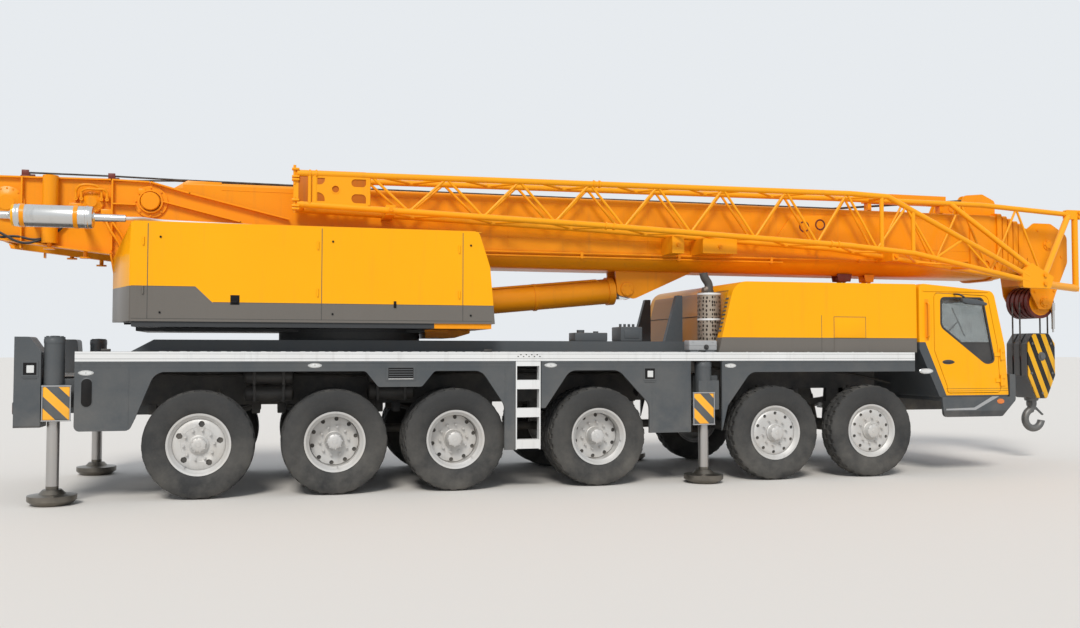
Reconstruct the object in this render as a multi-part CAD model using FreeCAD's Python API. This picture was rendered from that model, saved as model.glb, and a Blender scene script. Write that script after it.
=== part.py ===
"""Six-axle truck crane: carrier, slewing upper works, six-part boom and a stowed lattice jib.

X runs forward, Y to the vehicle's left and Z up, in millimetres. The origin is on the ground
under the middle of the machine's overall length and width. The right side is at negative Y.
"""
import FreeCAD
import Part
import math
import os

V = FreeCAD.Vector

# Overall sizes
overall_length = 15200.0
overall_width = 3000.0
front_x = overall_length / 2
rear_x = -overall_length / 2
side_y = overall_width / 2

# Axles, from the front: place, twin tyres, steered
axle_one_x = 3400.0
axle_table = [
    # behind the first axle, twin, steered
    (0.0, False, True),
    (1420.0, False, True),
    (3840.0, True, False),
    (5640.0, True, False),
    (7060.0, True, False),
    (8565.0, False, False),
]

# Wheels
tyre_radius = 613.0
tyre_width = 315.0
bead_width = 230.0
bead_radius = 325.0
tyre_outer_y = 1450.0
twin_pitch = 345.0
flange_radius = 350.0
rim_wall = 14.0
seat_gap = 0.3
hub_radius = 150.0
stub_radius = 60.0
running_gap = 0.05

# Carrier frame and deck
rail_y = 450.0
frame_low = 1010.0
frame_high = 1600.0
deck_rear = -6450.0
deck_front = 4020.0
deck_low = 1550.0
deck_top = 1660.0
raised_top = 1800.0
raised_y = 1000.0
raised_rear = -5700.0
raised_front = 1045.0
plate = 20.0
skirt_thick = 40.0

# Outriggers
beam_wide = 186.0
beam_high = 300.0
beam_low = 1060.0
beam_gap = 5.0
box_wall = 15.0
jack_y = 1400.0
jack_radius = 65.0
jack_housing_radius = 105.0
jack_top = 1820.0
foot_radius = 250.0
foot_high = 165.0

# Driving cab and engine hood
cab_rear = 4110.0
cab_y = 1480.0
cab_floor = 1050.0
cab_wall = 40.0
hood_rear = 1170.0
hood_front = 4090.0
hood_y = 1450.0
hood_top = 2580.0
hood_wall = 30.0

# Slewing upper works
slew_x = -3400.0
ring_radius = 900.0
bed_low = 1905.0
ring_top = bed_low - seat_gap
bed_high = 2000.0
bed_plate_y = (540.0, 590.0)
cover_y = (640.0, 1400.0)
cover_x = (-5910.0, -1760.0)
cover_top = 3120.0

# Boom: foot pin, box sections
foot_pin = (-5800.0, 3450.0)
foot_pin_radius = 90.0
boom_low = 2780.0
boom_high = 3730.0
boom_wide = 960.0
boom_wall = 14.0
boom_slip = 16.0
base_rear = -5450.0
base_front = 6250.0
section_count = 6
head_step = 120.0
pad_gap = 0.3

# Luffing cylinder: lower pin, rod eye
luff_base = (-3700.0, 2140.0)
luff_eye = (370.0, 2530.0)
luff_barrel_radius = 175.0
luff_rod_radius = 125.0
luff_pin_radius = 60.0


def place(plane, level):
    """Turn two outline coordinates into a point of the named plane at a level."""
    if plane == "xz":
        return lambda a, b: V(a, level, b)
    if plane == "yz":
        return lambda a, b: V(level, a, b)
    return lambda a, b: V(a, b, level)


def outline(points, plane, level):
    """Closed wire through (a, b) or (a, b, corner radius) points."""
    at = [place(plane, level)(p[0], p[1]) for p in points]
    radii = [p[2] if len(p) > 2 else 0.0 for p in points]
    corners = []
    for i, corner in enumerate(at):
        before = (at[i - 1] - corner).normalize()
        after = (at[(i + 1) % len(at)] - corner).normalize()
        if radii[i] == 0.0:
            corners.append((corner, None, corner))
            continue
        half = before.getAngle(after) / 2
        reach = radii[i] / math.tan(half)
        middle = corner + (before + after).normalize() * (radii[i] / math.sin(half) - radii[i])
        corners.append((corner + before * reach, middle, corner + after * reach))
    edges = []
    for i, (start, middle, end) in enumerate(corners):
        if middle is not None:
            edges.append(Part.Arc(start, middle, end).toShape())
        following = corners[(i + 1) % len(corners)][0]
        if (following - end).Length > 1e-4:
            edges.append(Part.LineSegment(end, following).toShape())
    return Part.Wire(edges)


def prism(points, plane, low, high):
    """Solid with a rounded outline in one plane, between two levels of the third axis."""
    along = {"xz": V(0, 1, 0), "yz": V(1, 0, 0), "xy": V(0, 0, 1)}[plane]
    return Part.Face(outline(points, plane, low)).extrude(along * (high - low))


def block(x, y, z):
    """Box from three (low, high) pairs."""
    return Part.makeBox(x[1] - x[0], y[1] - y[0], z[1] - z[0], V(x[0], y[0], z[0]))


def bar(radius, start, end):
    """Round bar between two points."""
    a, b = V(*start), V(*end)
    return Part.makeCylinder(radius, (b - a).Length, a, b - a)


def turned(profile, x, z):
    """Solid turned about the line along Y at (x, z), from (y, radius) points."""
    wire = Part.makePolygon([V(x, y, z + r) for y, r in profile + profile[:1]])
    return Part.Face(wire).revolve(V(x, 0, z), V(0, 1, 0), 360)


def join(first, *others):
    return first.multiFuse(list(others)).removeSplitter()


def cut(shape, *tools):
    return shape.cut(list(tools))


def mirrored(shape):
    """The same piece on the other side of the vehicle."""
    return shape.mirror(V(0, 0, 0), V(0, 1, 0))


def both_sides(*shapes):
    return list(shapes) + [mirrored(s) for s in shapes]


def save(name, *pieces):
    """Write one named sub-part; its solids stay separate."""
    solids = [solid for piece in pieces for solid in piece.Solids]
    shape = solids[0] if len(solids) == 1 else Part.Compound(solids)
    shape.exportStep("parts/%s.step" % name)


def axle_x(i):
    return axle_one_x - axle_table[i][0]


def tyre(x, middle_y):
    """Tyre with a flat tread, rounded shoulders and a bead that sits on the rim."""
    half, bead = tyre_width / 2, bead_width / 2
    profile = [
        (-bead, bead_radius), (-bead, flange_radius + 2), (-half, tyre_radius - 150),
        (-half + 12, tyre_radius - 35), (-half + 45, tyre_radius),
        (half - 45, tyre_radius), (half - 12, tyre_radius - 35),
        (half, tyre_radius - 150), (bead, flange_radius + 2), (bead, bead_radius),
    ]
    return turned([(middle_y + y, r) for y, r in profile], x, tyre_radius)


def rim_ring(x, middle_y):
    """Barrel and flanges of one rim, clear of the tyre's bead."""
    seat = bead_radius - seat_gap
    half = bead_width / 2
    lip = half + seat_gap
    profile = [
        (-lip - 12, flange_radius), (-lip, flange_radius), (-lip, seat), (lip, seat),
        (lip, flange_radius), (lip + 12, flange_radius), (lip + 12, seat - rim_wall),
        (-lip - 12, seat - rim_wall),
    ]
    return turned([(middle_y + y, r) for y, r in profile], x, tyre_radius)


def around(x, y, radius, count, turn=0.0):
    """Places evenly spaced on a circle about the line along Y at wheel height."""
    angles = [math.radians(turn + 360.0 * i / count) for i in range(count)]
    return [(x + radius * math.cos(a), y, tyre_radius + radius * math.sin(a)) for a in angles]


def disc_holes(x, low_y, high_y, radius, hole, count):
    """Round hand holes through a wheel disc."""
    return [
        bar(hole, (px, low_y - 5, pz), (px, high_y + 5, pz))
        for px, _, pz in around(x, low_y, radius, count, 18.0)
    ]


# Wheel kinds: tyres, disc level from the outer tyre's middle, disc thickness, hub length
# outward from the disc, hole radius, hole circle, hole count. Outward is positive.
single_front = {"discs": 1, "disc": 70.0, "hub": 115.0, "hole": 24.0, "circle": 262.0, "count": 10}
single_rear = {"discs": 1, "disc": 60.0, "hub": 90.0, "hole": 45.0, "circle": 235.0, "count": 5}
twin_driven = {"discs": 2, "disc": -150.0, "hub": 285.0, "hole": 24.0, "circle": 262.0, "count": 10}
disc_thick = 16.0


def wheel_kind(i):
    if axle_table[i][1]:
        return twin_driven
    return single_front if i < 2 else single_rear


def hub_levels(i):
    """Y of the hub's inner face and of its bore's closed end, on the left side."""
    outer_middle = tyre_outer_y - tyre_width / 2
    disc_y = outer_middle + wheel_kind(i)["disc"]
    return disc_y - 150.0, disc_y + 40.0


def wheel(i):
    """One wheel on the left: its tyres, rims, discs and bored hub."""
    x = axle_x(i)
    kind = wheel_kind(i)
    middles = [tyre_outer_y - tyre_width / 2]
    if kind["discs"] == 2:
        middles.append(middles[0] - twin_pitch)
    disc_y = middles[0] + kind["disc"]
    inner_y, bore_end = hub_levels(i)
    reach = bead_radius - seat_gap - rim_wall + 1
    disc = bar(reach, (x, disc_y, tyre_radius), (x, disc_y + disc_thick, tyre_radius))
    holes = disc_holes(x, disc_y, disc_y + disc_thick, kind["circle"], kind["hole"], kind["count"])
    hub = turned(
        [
            (inner_y, 0), (inner_y, hub_radius + 10), (disc_y + disc_thick + 18, hub_radius + 10),
            (disc_y + disc_thick + 18, hub_radius - 25), (disc_y + kind["hub"] - 20, hub_radius - 40),
            (disc_y + kind["hub"], hub_radius - 60), (disc_y + kind["hub"], 0),
        ],
        x, tyre_radius,
    )
    bore = bar(stub_radius + running_gap, (x, inner_y - 5, tyre_radius), (x, bore_end, tyre_radius))
    rims = [rim_ring(x, y) for y in middles]
    if len(middles) == 2:
        ends = middles[1] + bead_width / 2, middles[0] - bead_width / 2
        drum = bar(reach, (x, ends[0], tyre_radius), (x, ends[1], tyre_radius))
        inside = bar(reach - rim_wall, (x, ends[0] - 1, tyre_radius), (x, ends[1] + 1, tyre_radius))
        rims.append(cut(drum, inside))
    body = cut(join(cut(disc, *holes), hub, *rims), bore)
    return [tyre(x, y) for y in middles] + [body]


def build_wheels():
    for i in range(len(axle_table)):
        left = wheel(i)
        save("wheel_%d_left" % (i + 1), *left)
        save("wheel_%d_right" % (i + 1), *[mirrored(s) for s in left])


# Side skirt outlines on the right side: X, Z and corner radius
skirt_rear = [
    (-6450, 1550), (-6450, 790, 60), (-5890, 790, 60), (-5830, 920, 60), (-5630, 1435, 160),
    (-3320, 1435, 60), (-3170, 1250, 40), (-2660, 1250, 40), (-2510, 1435, 60),
    (-1940, 1435, 160), (-1660, 1020, 160), (-1660, 480), (-1530, 480), (-1530, 1550),
]
skirt_middle = [
    (-1200, 1550), (-1200, 980), (-1150, 980, 20), (-840, 1435, 160), (-200, 1435, 160),
    (200, 1010, 160), (200, 650), (760, 650), (760, 1550),
]
skirt_front = [(1190, 1550), (1190, 660), (1270, 980, 40), (1590, 1405, 160), (4020, 1405), (4020, 1550)]
skirt_y = (-side_y, -side_y + skirt_thick)
bearer_places = [-6150, -5165, -4600, -2200, -1350, -440, 400, 1500, 1980, 2700, 3400, 3950]
bearer_half = 40.0
bearer_low = 1560.0
bearer_reach = 1455.0
deck_seat = deck_top - plate
rail_low = 1150.0
rail_front = 5490.0
rail_drop = (3900.0, 4080.0)
rail_front_low = 820.0
rail_front_high = cab_floor - 50.0
rail_inner_y = 330.0
pedestal_radius = 880.0
ring_low = 1790.0
rear_mid_x = -6670.0
front_mid_x = 970.0
box_half = 221.0
box_reach = 1180.0
beam_shift = 108.0


def build_frame():
    """Closed box frame behind, two rails in front, deck bearers and the ring pedestal."""
    pieces = [
        block((rear_mid_x + box_half, front_mid_x - box_half), (-rail_y, rail_y), (frame_low, frame_high)),
        bar(pedestal_radius, (slew_x, 0, bearer_low), (slew_x, 0, ring_low)),
    ]
    rail = prism(
        [(front_mid_x + box_half, rail_low), (rail_drop[0], rail_low, 80),
         (rail_drop[0] + 60, rail_front_low, 80), (rail_front, rail_front_low),
         (rail_front, rail_front_high), (rail_drop[1], rail_front_high, 60), (rail_drop[1], deck_seat),
         (front_mid_x + box_half, deck_seat)],
        "xz", rail_inner_y, rail_y,
    )
    over_box = (front_mid_x - box_half - 1, front_mid_x + box_half + 1)
    bridge = block(over_box, (rail_inner_y, rail_y), (1400, frame_high))
    pieces += both_sides(rail, bridge)
    across = (-rail_inner_y, rail_inner_y)
    pieces.append(block((rail_front - 80, rail_front), across, (rail_front_low, rail_front_high)))
    for x in bearer_places:
        along = (x - bearer_half, x + bearer_half)
        arm = block(along, (rail_inner_y + 10, bearer_reach), (bearer_low, deck_seat))
        pieces += both_sides(arm)
        if x > front_mid_x:
            low = rail_low + 20
            pieces.append(block(along, across, (low, low + 60)))
    save("chassis_frame", join(*pieces))


def build_deck():
    """Side decks with a folded edge, and the raised middle deck round the slewing ring."""
    strip = block((deck_rear, deck_front), (raised_y - plate, side_y), (deck_seat, deck_top))
    lip = block((deck_rear, deck_front), (side_y - plate, side_y), (deck_low, deck_seat))
    web = block((raised_rear, raised_front), (raised_y - plate, raised_y), (deck_top, raised_top - plate))
    inside = (-raised_y + plate, raised_y - plate)
    rear = block((deck_rear, raised_rear + plate), inside, (deck_seat, deck_top))
    slope = prism(
        [(deck_rear + 500, deck_top), (raised_rear, raised_top), (raised_rear, raised_top - plate),
         (raised_rear, deck_top)],
        "xz", -raised_y, raised_y,
    )
    middle = block((raised_rear, raised_front), (-raised_y, raised_y), (raised_top - plate, raised_top))
    hole = bar(ring_radius + 30, (slew_x, 0, raised_top - 60), (slew_x, 0, raised_top + 10))
    raised = cut(middle, hole)
    save("deck", join(*both_sides(strip, lip, web), rear, slope, raised))


def build_skirts():
    plates = [prism(points, "xz", *skirt_y) for points in (skirt_rear, skirt_middle, skirt_front)]
    save("side_skirts", *both_sides(*plates))


ladder_x = (-1520.0, -1210.0)
step_places = [490.0, 870.0, 1210.0]


def build_ladders():
    """Three steps between two side plates, hung from the deck edge on each side."""
    deep = (-side_y + 5, -side_y + 120)
    sides = [block((x, x + 15), deep, (480, deck_low)) for x in (ladder_x[0], ladder_x[1] - 15)]
    steps = [block(ladder_x, deep, (z, z + 110)) for z in step_places]
    inside = [
        block((ladder_x[0] + 15, ladder_x[1] - 15), (deep[0] + 12, deep[1] + 1), (z - 1, z + 98))
        for z in step_places
    ]
    top = block(ladder_x, deep, (deck_low - 60, deck_low))
    ladder = cut(join(top, *sides, *steps), *inside)
    save("access_ladders", *both_sides(ladder))


beam_radius = 85.0
king_y = 1000.0
king_radius = 35.0
king_boss = 70.0
boss_half = 90.0
ear_thick = 34.0


def build_axles():
    """Each axle is a tube with a centre case, spring seats up to the frame, and its hub stubs."""
    solids = []
    for i, (behind, twin, steered) in enumerate(axle_table):
        x, z = axle_x(i), tyre_radius
        if steered:
            end_y = king_y
        else:
            end_y = hub_levels(i)[0] - 5
        tube = bar(beam_radius, (x, -end_y, z), (x, end_y, z))
        pieces = [tube]
        top = rail_low if x > front_mid_x else frame_low
        seat = prism([(x - 130, z), (x + 130, z), (x + 90, top), (x - 90, top)], "xz", 350, 440)
        pieces += both_sides(seat)
        if twin or not steered:
            case = Part.makeSphere(210, V(x, 0, z))
            pieces.append(case)
            inner, deep = hub_levels(i)
            stub = bar(stub_radius, (x, end_y - 10, z), (x, deep - 6, z))
            drum = bar(205, (x, end_y - 170, z), (x, end_y, z))
            pieces += both_sides(stub, drum)
        else:
            boss = bar(king_boss, (x, king_y, z - boss_half), (x, king_y, z + boss_half))
            pieces += both_sides(boss)
        axle = join(*pieces)
        if steered:
            ends = z - boss_half - 1, z + boss_half + 1
            hole = bar(king_radius + running_gap, (x, king_y, ends[0]), (x, king_y, ends[1]))
            axle = cut(axle, *both_sides(hole))
        solids.append(axle)
    save("axles", *solids)


def knuckle(i):
    """Left steering knuckle: kingpin between two ears, backing plate and hub stub."""
    x, z = axle_x(i), tyre_radius
    inner, deep = hub_levels(i)
    low, high = z - boss_half - 5 - ear_thick, z + boss_half + 5 + ear_thick
    pin = bar(king_radius, (x, king_y, low), (x, king_y, high))
    ears = [
        join(
            bar(king_boss, (x, king_y, level), (x, king_y, level + ear_thick)),
            block((x - king_boss, x + king_boss), (king_y, king_y + 110), (level, level + ear_thick)),
        )
        for level in (low, high - ear_thick)
    ]
    web = block((x - king_boss, x + king_boss), (king_y + 85, king_y + 125), (low, high))
    backing = bar(200, (x, king_y + 110, z), (x, inner - 5, z))
    stub = bar(stub_radius, (x, inner - 20, z), (x, deep - 6, z))
    return join(pin, web, backing, stub, *ears)


def build_knuckles():
    for i in (0, 1):
        left = knuckle(i)
        save("knuckle_%d_left" % (i + 1), left)
        save("knuckle_%d_right" % (i + 1), mirrored(left))


outrigger_table = [
    # name, middle of the box, jack housing top, foot lift
    ("front", front_mid_x, 1540.0, 350.0),
    ("rear", rear_mid_x, jack_top, 600.0),
]
housing_low = 930.0
# Jack foot: radius and Z
foot_profile = [
    (0, 0), (foot_radius - 60, 0), (foot_radius, 50), (foot_radius, 105), (foot_radius - 110, 120),
    (jack_radius + 30, foot_high), (0, foot_high),
]
panel_x = (105.0, 175.0)
shaft_slack = 0.08


def build_outrigger_boxes():
    """Two transverse boxes, each open at both ends for a pair of beams side by side."""
    solids = []
    low = beam_low - beam_gap - box_wall
    high = beam_low + beam_high + beam_gap + box_wall
    for _, mid, _, _ in outrigger_table:
        outer = block((mid - box_half, mid + box_half), (-box_reach, box_reach), (low, high))
        half = beam_wide / 2 + beam_gap
        through = (-box_reach - 1, box_reach + 1)
        channels = [
            block((mid + s - half, mid + s + half), through, (low + box_wall, high - box_wall))
            for s in (-beam_shift, beam_shift)
        ]
        pads = [
            block((mid + s - 50, mid + s + 50), (y, y + 90), (low + box_wall - 1, beam_low - pad_gap))
            for s in (-beam_shift, beam_shift) for y in (-box_reach, box_reach - 90)
        ]
        solids.append(join(cut(outer, *channels), *pads))
    save("outrigger_boxes", *solids)


def outrigger(mid, shift, top, lift):
    """Left-side beam with its jack housing, and the jack leg with its foot."""
    at = mid + shift
    end = jack_y - jack_housing_radius
    beam = block((at - beam_wide / 2, at + beam_wide / 2), (-1150, end), (beam_low, beam_low + beam_high))
    housing = bar(jack_housing_radius, (mid, jack_y, housing_low), (mid, jack_y, top))
    reach = sorted([mid - math.copysign(90, shift), at + math.copysign(beam_wide / 2, shift)])
    bracket = block(reach, (end - 10, jack_y), (beam_low, beam_low + beam_high))
    panel = block((mid - panel_x[0], mid + panel_x[1]), (side_y - 12, side_y), (housing_low, 1300))
    cheeks = block((mid - panel_x[0], mid + panel_x[1]), (jack_y, side_y - 6), (1060, 1100))
    bore = bar(jack_radius + shaft_slack, (mid, jack_y, housing_low - 1), (mid, jack_y, top - 15))
    arm = cut(join(beam, housing, bracket, panel, cheeks), bore)
    leg = bar(jack_radius, (mid, jack_y, foot_high - 60), (mid, jack_y, top - 40 - lift))
    wire = Part.makePolygon([V(mid + r, jack_y, z) for r, z in foot_profile + foot_profile[:1]])
    foot = Part.Face(wire).revolve(V(mid, jack_y, 0), V(0, 0, 1), 360)
    return arm, join(leg, foot)


def build_outriggers():
    for name, mid, top, lift in outrigger_table:
        arm, leg = outrigger(mid, -beam_shift, top, lift)
        save("outrigger_beam_%s_left" % name, arm)
        save("jack_%s_left" % name, leg)
        arm, leg = outrigger(mid, beam_shift, top, lift)
        save("outrigger_beam_%s_right" % name, mirrored(arm))
        save("jack_%s_right" % name, mirrored(leg))


rear_bumper_x = -7050.0


def rear_bumper():
    """Cross beam behind the rear outriggers, with a lamp box at each corner."""
    corners = []
    for inner_x, sides in ((-6785, (-side_y, -box_reach - 5)), (-6885, (box_reach + 5, side_y))):
        corners.append(prism(
            [(rear_bumper_x, 840), (inner_x, 840), (inner_x, 1650), (-6900, 1820, 40), (rear_bumper_x, 1820)],
            "xz", *sides))
    beam = block((rear_bumper_x, rear_mid_x - box_half), (-box_reach - 10, box_reach + 10), (1050, 1380))
    return join(beam, *corners)



# Driving cab outline and openings: X, Z and corner radius
cab_outer = [
    (cab_rear, 2600, 70), (5270, 2510, 90), (5310, 2440, 60), (5470, 1750, 200), (5520, cab_floor, 40),
    (4420, cab_floor, 40), (cab_rear, 1700, 60),
]
door_outline = [
    (4345, 2470, 60), (4345, 1690, 60), (4540, 1200, 60), (4540, 1110, 40),
    (5385, 1110, 40), (5345, 1750, 200), (5195, 2440, 80),
]
door_window = [(4450, 2410, 60), (5120, 2410, 60), (5300, 1540, 60), (5160, 1500, 100), (4450, 2010, 100)]
door_gap = 8.0
door_thick = 45.0
glass_thick = 8.0
glass_gap = 0.3
screen_low, screen_high = 1780.0, 2400.0
screen_y = 1320.0
engine_x = (1560.0, 2880.0)
engine_high = 2150.0
exhaust_at = (1193.0, -1105.0)
exhaust_radius = 145.0
rest_x = 920.0
rest_y = 600.0
rest_top = 2430.0


def grown(points, by, low, high):
    """XZ prism whose outline is moved outward by a distance."""
    face = Part.Face(outline(points, "xz", low)).makeOffset2D(by)
    return face.extrude(V(0, high - low, 0))


def screen_x(z):
    """X of the cab's sloped front face at a height in the windscreen."""
    (top_x, top_z), (low_x, low_z) = cab_outer[2][:2], cab_outer[3][:2]
    return low_x + (top_x - low_x) * (z - low_z) / (top_z - low_z)


hinge_x = 5395.0
hinge_out = 16.0
knuckle_radius = 14.0
knuckle_length = 50.0
# Side door hinges: low end, X to which the door's leaf reaches
hinge_table = [(1200.0, 5310.0), (1560.0, 5290.0)]


def hinge_half(low, far_x, axis_x, face_y, moving):
    """One side of a hinge on the left face: the door's middle knuckle, or the frame's outer two."""
    n = knuckle_length
    if moving:
        levels = [(low + n, low + 2 * n)]
    else:
        levels = [(low, low + n - pad_gap), (low + 2 * n + pad_gap, low + 3 * n)]
    leaf_x = sorted((far_x, axis_x))
    seat_x = sorted((far_x, far_x + math.copysign(30, axis_x - far_x)))
    pieces = []
    for a, b in levels:
        pieces.append(bar(knuckle_radius, (axis_x, face_y + hinge_out, a), (axis_x, face_y + hinge_out, b)))
        pieces.append(block(leaf_x, (face_y + 1, face_y + hinge_out - 4), (a, b)))
        pieces.append(block(seat_x, (face_y - 2, face_y + 2), (a, b)))
    return pieces


def build_cab():
    """Hollow cab with its two door openings and windscreen cut out."""
    outer = prism(cab_outer, "xz", -cab_y, cab_y)
    inner = grown(cab_outer, -cab_wall, -cab_y + cab_wall, cab_y - cab_wall)
    doorway = grown(door_outline, door_gap, cab_y - cab_wall - 20, cab_y + 10)
    front = block((5150, 5600), (-screen_y, screen_y), (screen_low, screen_high))
    shell = cut(outer, inner, front, *both_sides(doorway))
    halves = []
    for low, _ in hinge_table:
        halves += hinge_half(low, hinge_x + 70, hinge_x, cab_y, False)
    shell = join(shell, *both_sides(*halves))
    save("cab_shell", shell)
    pane = prism(
        [(screen_x(z) - inset, z) for inset, z in (
            (12, screen_low + glass_gap), (12, screen_high - glass_gap),
            (12 + glass_thick, screen_high - glass_gap), (12 + glass_thick, screen_low + glass_gap))],
        "xz", -screen_y + glass_gap, screen_y - glass_gap,
    )
    save("windscreen", pane)


def build_doors():
    """Side doors with a sloped window and a pull handle."""
    panel = prism(door_outline, "xz", cab_y - door_thick, cab_y)
    hole = prism(door_window, "xz", cab_y - door_thick - 1, cab_y + 1)
    door = cut(panel, hole)
    halves = []
    for low, leaf_x in hinge_table:
        halves += hinge_half(low, leaf_x, hinge_x, cab_y, True)
    door = join(door, *halves)
    middle = cab_y - door_thick / 2
    pane = grown(door_window, -glass_gap, middle - glass_thick / 2, middle + glass_thick / 2)
    save("cab_door_left", door)
    save("cab_door_right", mirrored(door))
    save("door_glass_left", pane)
    save("door_glass_right", mirrored(pane))


def build_cab_inside():
    """Two seats and the dashboard with its steering column and wheel."""
    floor = cab_floor + cab_wall
    cushion = [(4440, floor + 260), (4960, floor + 260), (4980, floor + 400, 40), (4440, floor + 380)]
    back = [(4380, floor + 380), (4520, floor + 370), (4460, floor + 1060, 50), (4340, floor + 1060, 50)]
    seat = join(
        block((4500, 4900), (480, 880), (floor, floor + 260)),
        prism(cushion, "xz", 430, 930),
        prism(back, "xz", 430, 930),
    )
    dash_side = [(5180, floor), (5440, floor), (5395, 1740, 40), (5140, 1700, 60), (5120, 1500, 40)]
    dash = prism(dash_side, "xz", -1300, 1300)
    column = bar(30, (5200, 680, 1560), (4990, 680, 1790))
    ring = Part.makeTorus(210, 16, V(4990, 680, 1790), V(-210, 0, 230))
    spoke = bar(12, (4990, 480, 1790), (4990, 880, 1790))
    save("cab_interior", join(dash, column, spoke, ring), *both_sides(seat))


def build_bumpers():
    """Front bumper that wraps under the cab and steps up at the nose, and the rear cross beam."""
    profile = [
        (4470, 780, 60), (5400, 780, 60), (5620, 1000, 60), (5620, 1360, 30), (5526, 1360),
        (5526, cab_floor), (4440, cab_floor),
    ]
    outer = prism(profile, "xz", -side_y, side_y)
    hollow = block((4300, rail_front), (-side_y + 40, side_y - 40), (700, rail_front_high))
    nose = block((5380, 5560), (-side_y + 40, side_y - 40), (850, rail_front_high))
    save("bumpers", cut(outer, hollow, nose), rear_bumper())


def build_engine():
    save("engine_block", block(engine_x, (-320, 320), (rail_low + 80, engine_high)))


recess_front = 1385.0
recess_y = (-1300.0, -910.0)


def build_hood():
    """Engine hood over the front deck, open underneath, with a recess for the exhaust silencer."""
    profile = [
        (hood_rear, deck_top), (hood_rear + 45, 1850), (hood_rear + 230, hood_top, 220),
        (hood_front, hood_top + 10, 30), (hood_front, deck_top),
    ]
    outer = prism(profile, "xz", -hood_y, hood_y)
    inner = grown(profile, -hood_wall, -hood_y + hood_wall, hood_y - hood_wall)
    open_x = hood_rear + hood_wall + 20, hood_front - hood_wall
    below = block(open_x, (-hood_y + hood_wall, hood_y - hood_wall), (deck_top - 1, deck_top + hood_wall + 1))
    recess = block((hood_rear - 1, recess_front), recess_y, (deck_top - 1, hood_top + 20))
    lining = block(
        (hood_rear - 1, recess_front + hood_wall), (recess_y[0] - hood_wall, recess_y[1] + hood_wall),
        (deck_top, hood_top + 20))
    walls = outer.common(lining)
    save("engine_hood", cut(join(cut(outer, inner, below), walls), recess))


def build_exhaust():
    """Upright silencer behind the hood with an elbow pipe at its top."""
    x, y = exhaust_at
    can = bar(exhaust_radius, (x, y, deck_top), (x, y, 2445))
    pipe = bar(45, (x, y, 2440), (x, y, 2560))
    elbow = Part.makeTorus(90, 45, V(x - 90, y, 2560), V(0, -1, 0), -180, 180, 60)
    save("exhaust_stack", join(can, pipe, elbow))


def build_boom_rest():
    post = prism(
        [(rest_x - 170, raised_top), (rest_x + 90, raised_top),
         (rest_x + 90, rest_top, 10), (rest_x + 5, rest_top, 10)],
        "xz", rest_y - 40, rest_y + 40,
    )
    save("boom_rest", *both_sides(post))


def build_ring():
    ring = cut(
        bar(ring_radius, (slew_x, 0, ring_low), (slew_x, 0, ring_top)),
        bar(ring_radius - 220, (slew_x, 0, ring_low - 1), (slew_x, 0, ring_top + 1)),
    )
    save("slewing_ring", ring)


bed_side = [
    (rear_x, 3690, 60), (rear_x, 2960, 60), (-6220, 2800), (-6080, bed_high - 20), (-2300, bed_high - 20),
    (-2480, 2420, 80), (-3850, 2560, 200), (-4180, 3280, 100), (-5360, 3560, 200), (-5800, 3680, 200),
]
nose_outline = [
    (-2480, bed_high - 50), (-1900, bed_high - 50), (-1900, 1900, 20), (-2100, 1840, 20), (-2480, 1840),
]
nose_half = 500.0
# Lift cylinders of the counterweight and the hangers below the tail: X, Y, low Z, high Z
lift_cylinders = (-6890.0, 672.0, 2915.0, 3705.0)
lift_radius = 85.0
hangers = [(-6890.0, 672.0, 2845.0, 2920.0), (-6520.0, 565.0, 2755.0, 2860.0)]
hanger_rod = 25.0
hanger_disc = 62.0
tail_plates_x = [-7540.0, -6765.0]


def build_turntable():
    """Bed plate on the ring, two long side plates, tail plates and the luffing cylinder's ears."""
    top_y = bed_plate_y[1]
    bed = block((-5950, -2200), (-top_y, top_y), (bed_low, bed_high))
    wing = block((-5900, -1800), (-1380, 1380), (bed_high - 60, bed_high))
    hub = bar(ring_radius - 10, (slew_x, 0, bed_low), (slew_x, 0, bed_high))
    sides = both_sides(prism(bed_side, "xz", *bed_plate_y))
    pin = foot_pin[0], foot_pin[1]
    boss = bar(190, (pin[0], bed_plate_y[0] - 10, pin[1]), (pin[0], bed_plate_y[1] + 25, pin[1]))
    tails = [block((x, x + 30), (-560, 560), (2990, 3500)) for x in tail_plates_x]
    ears = []
    for y in (150.0, -210.0):
        ears.append(prism(
            [(luff_base[0] - 260, bed_high - 10), (luff_base[0] + 260, bed_high - 10),
             (luff_base[0] + 110, luff_base[1] + 110, 100), (luff_base[0] - 110, luff_base[1] + 110, 100)],
            "xz", y, y + 60,
        ))
    nose = prism(nose_outline, "xz", -nose_half, nose_half)
    x, y, low, high = lift_cylinders
    hung = [bar(lift_radius, (x, y, low), (x, y, high))]
    for x, y, low, high in hangers:
        hung += [bar(hanger_rod, (x, y, low), (x, y, high)), bar(hanger_disc, (x, y, low), (x, y, low + 18))]
    foot_hole = bar(foot_pin_radius + running_gap, (pin[0], -700, pin[1]), (pin[0], 700, pin[1]))
    base_x, base_z = luff_base
    cylinder_hole = bar(luff_pin_radius + running_gap, (base_x, -230, base_z), (base_x, 230, base_z))
    whole = join(bed, wing, hub, nose, *sides, *both_sides(boss, *hung), *tails, *ears)
    save("turntable", cut(whole, foot_hole, cylinder_hole))


silencer_at = (-7140.0, -1290.0, 3155.0)
silencer_length = 810.0
silencer_radius = 120.0


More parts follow.
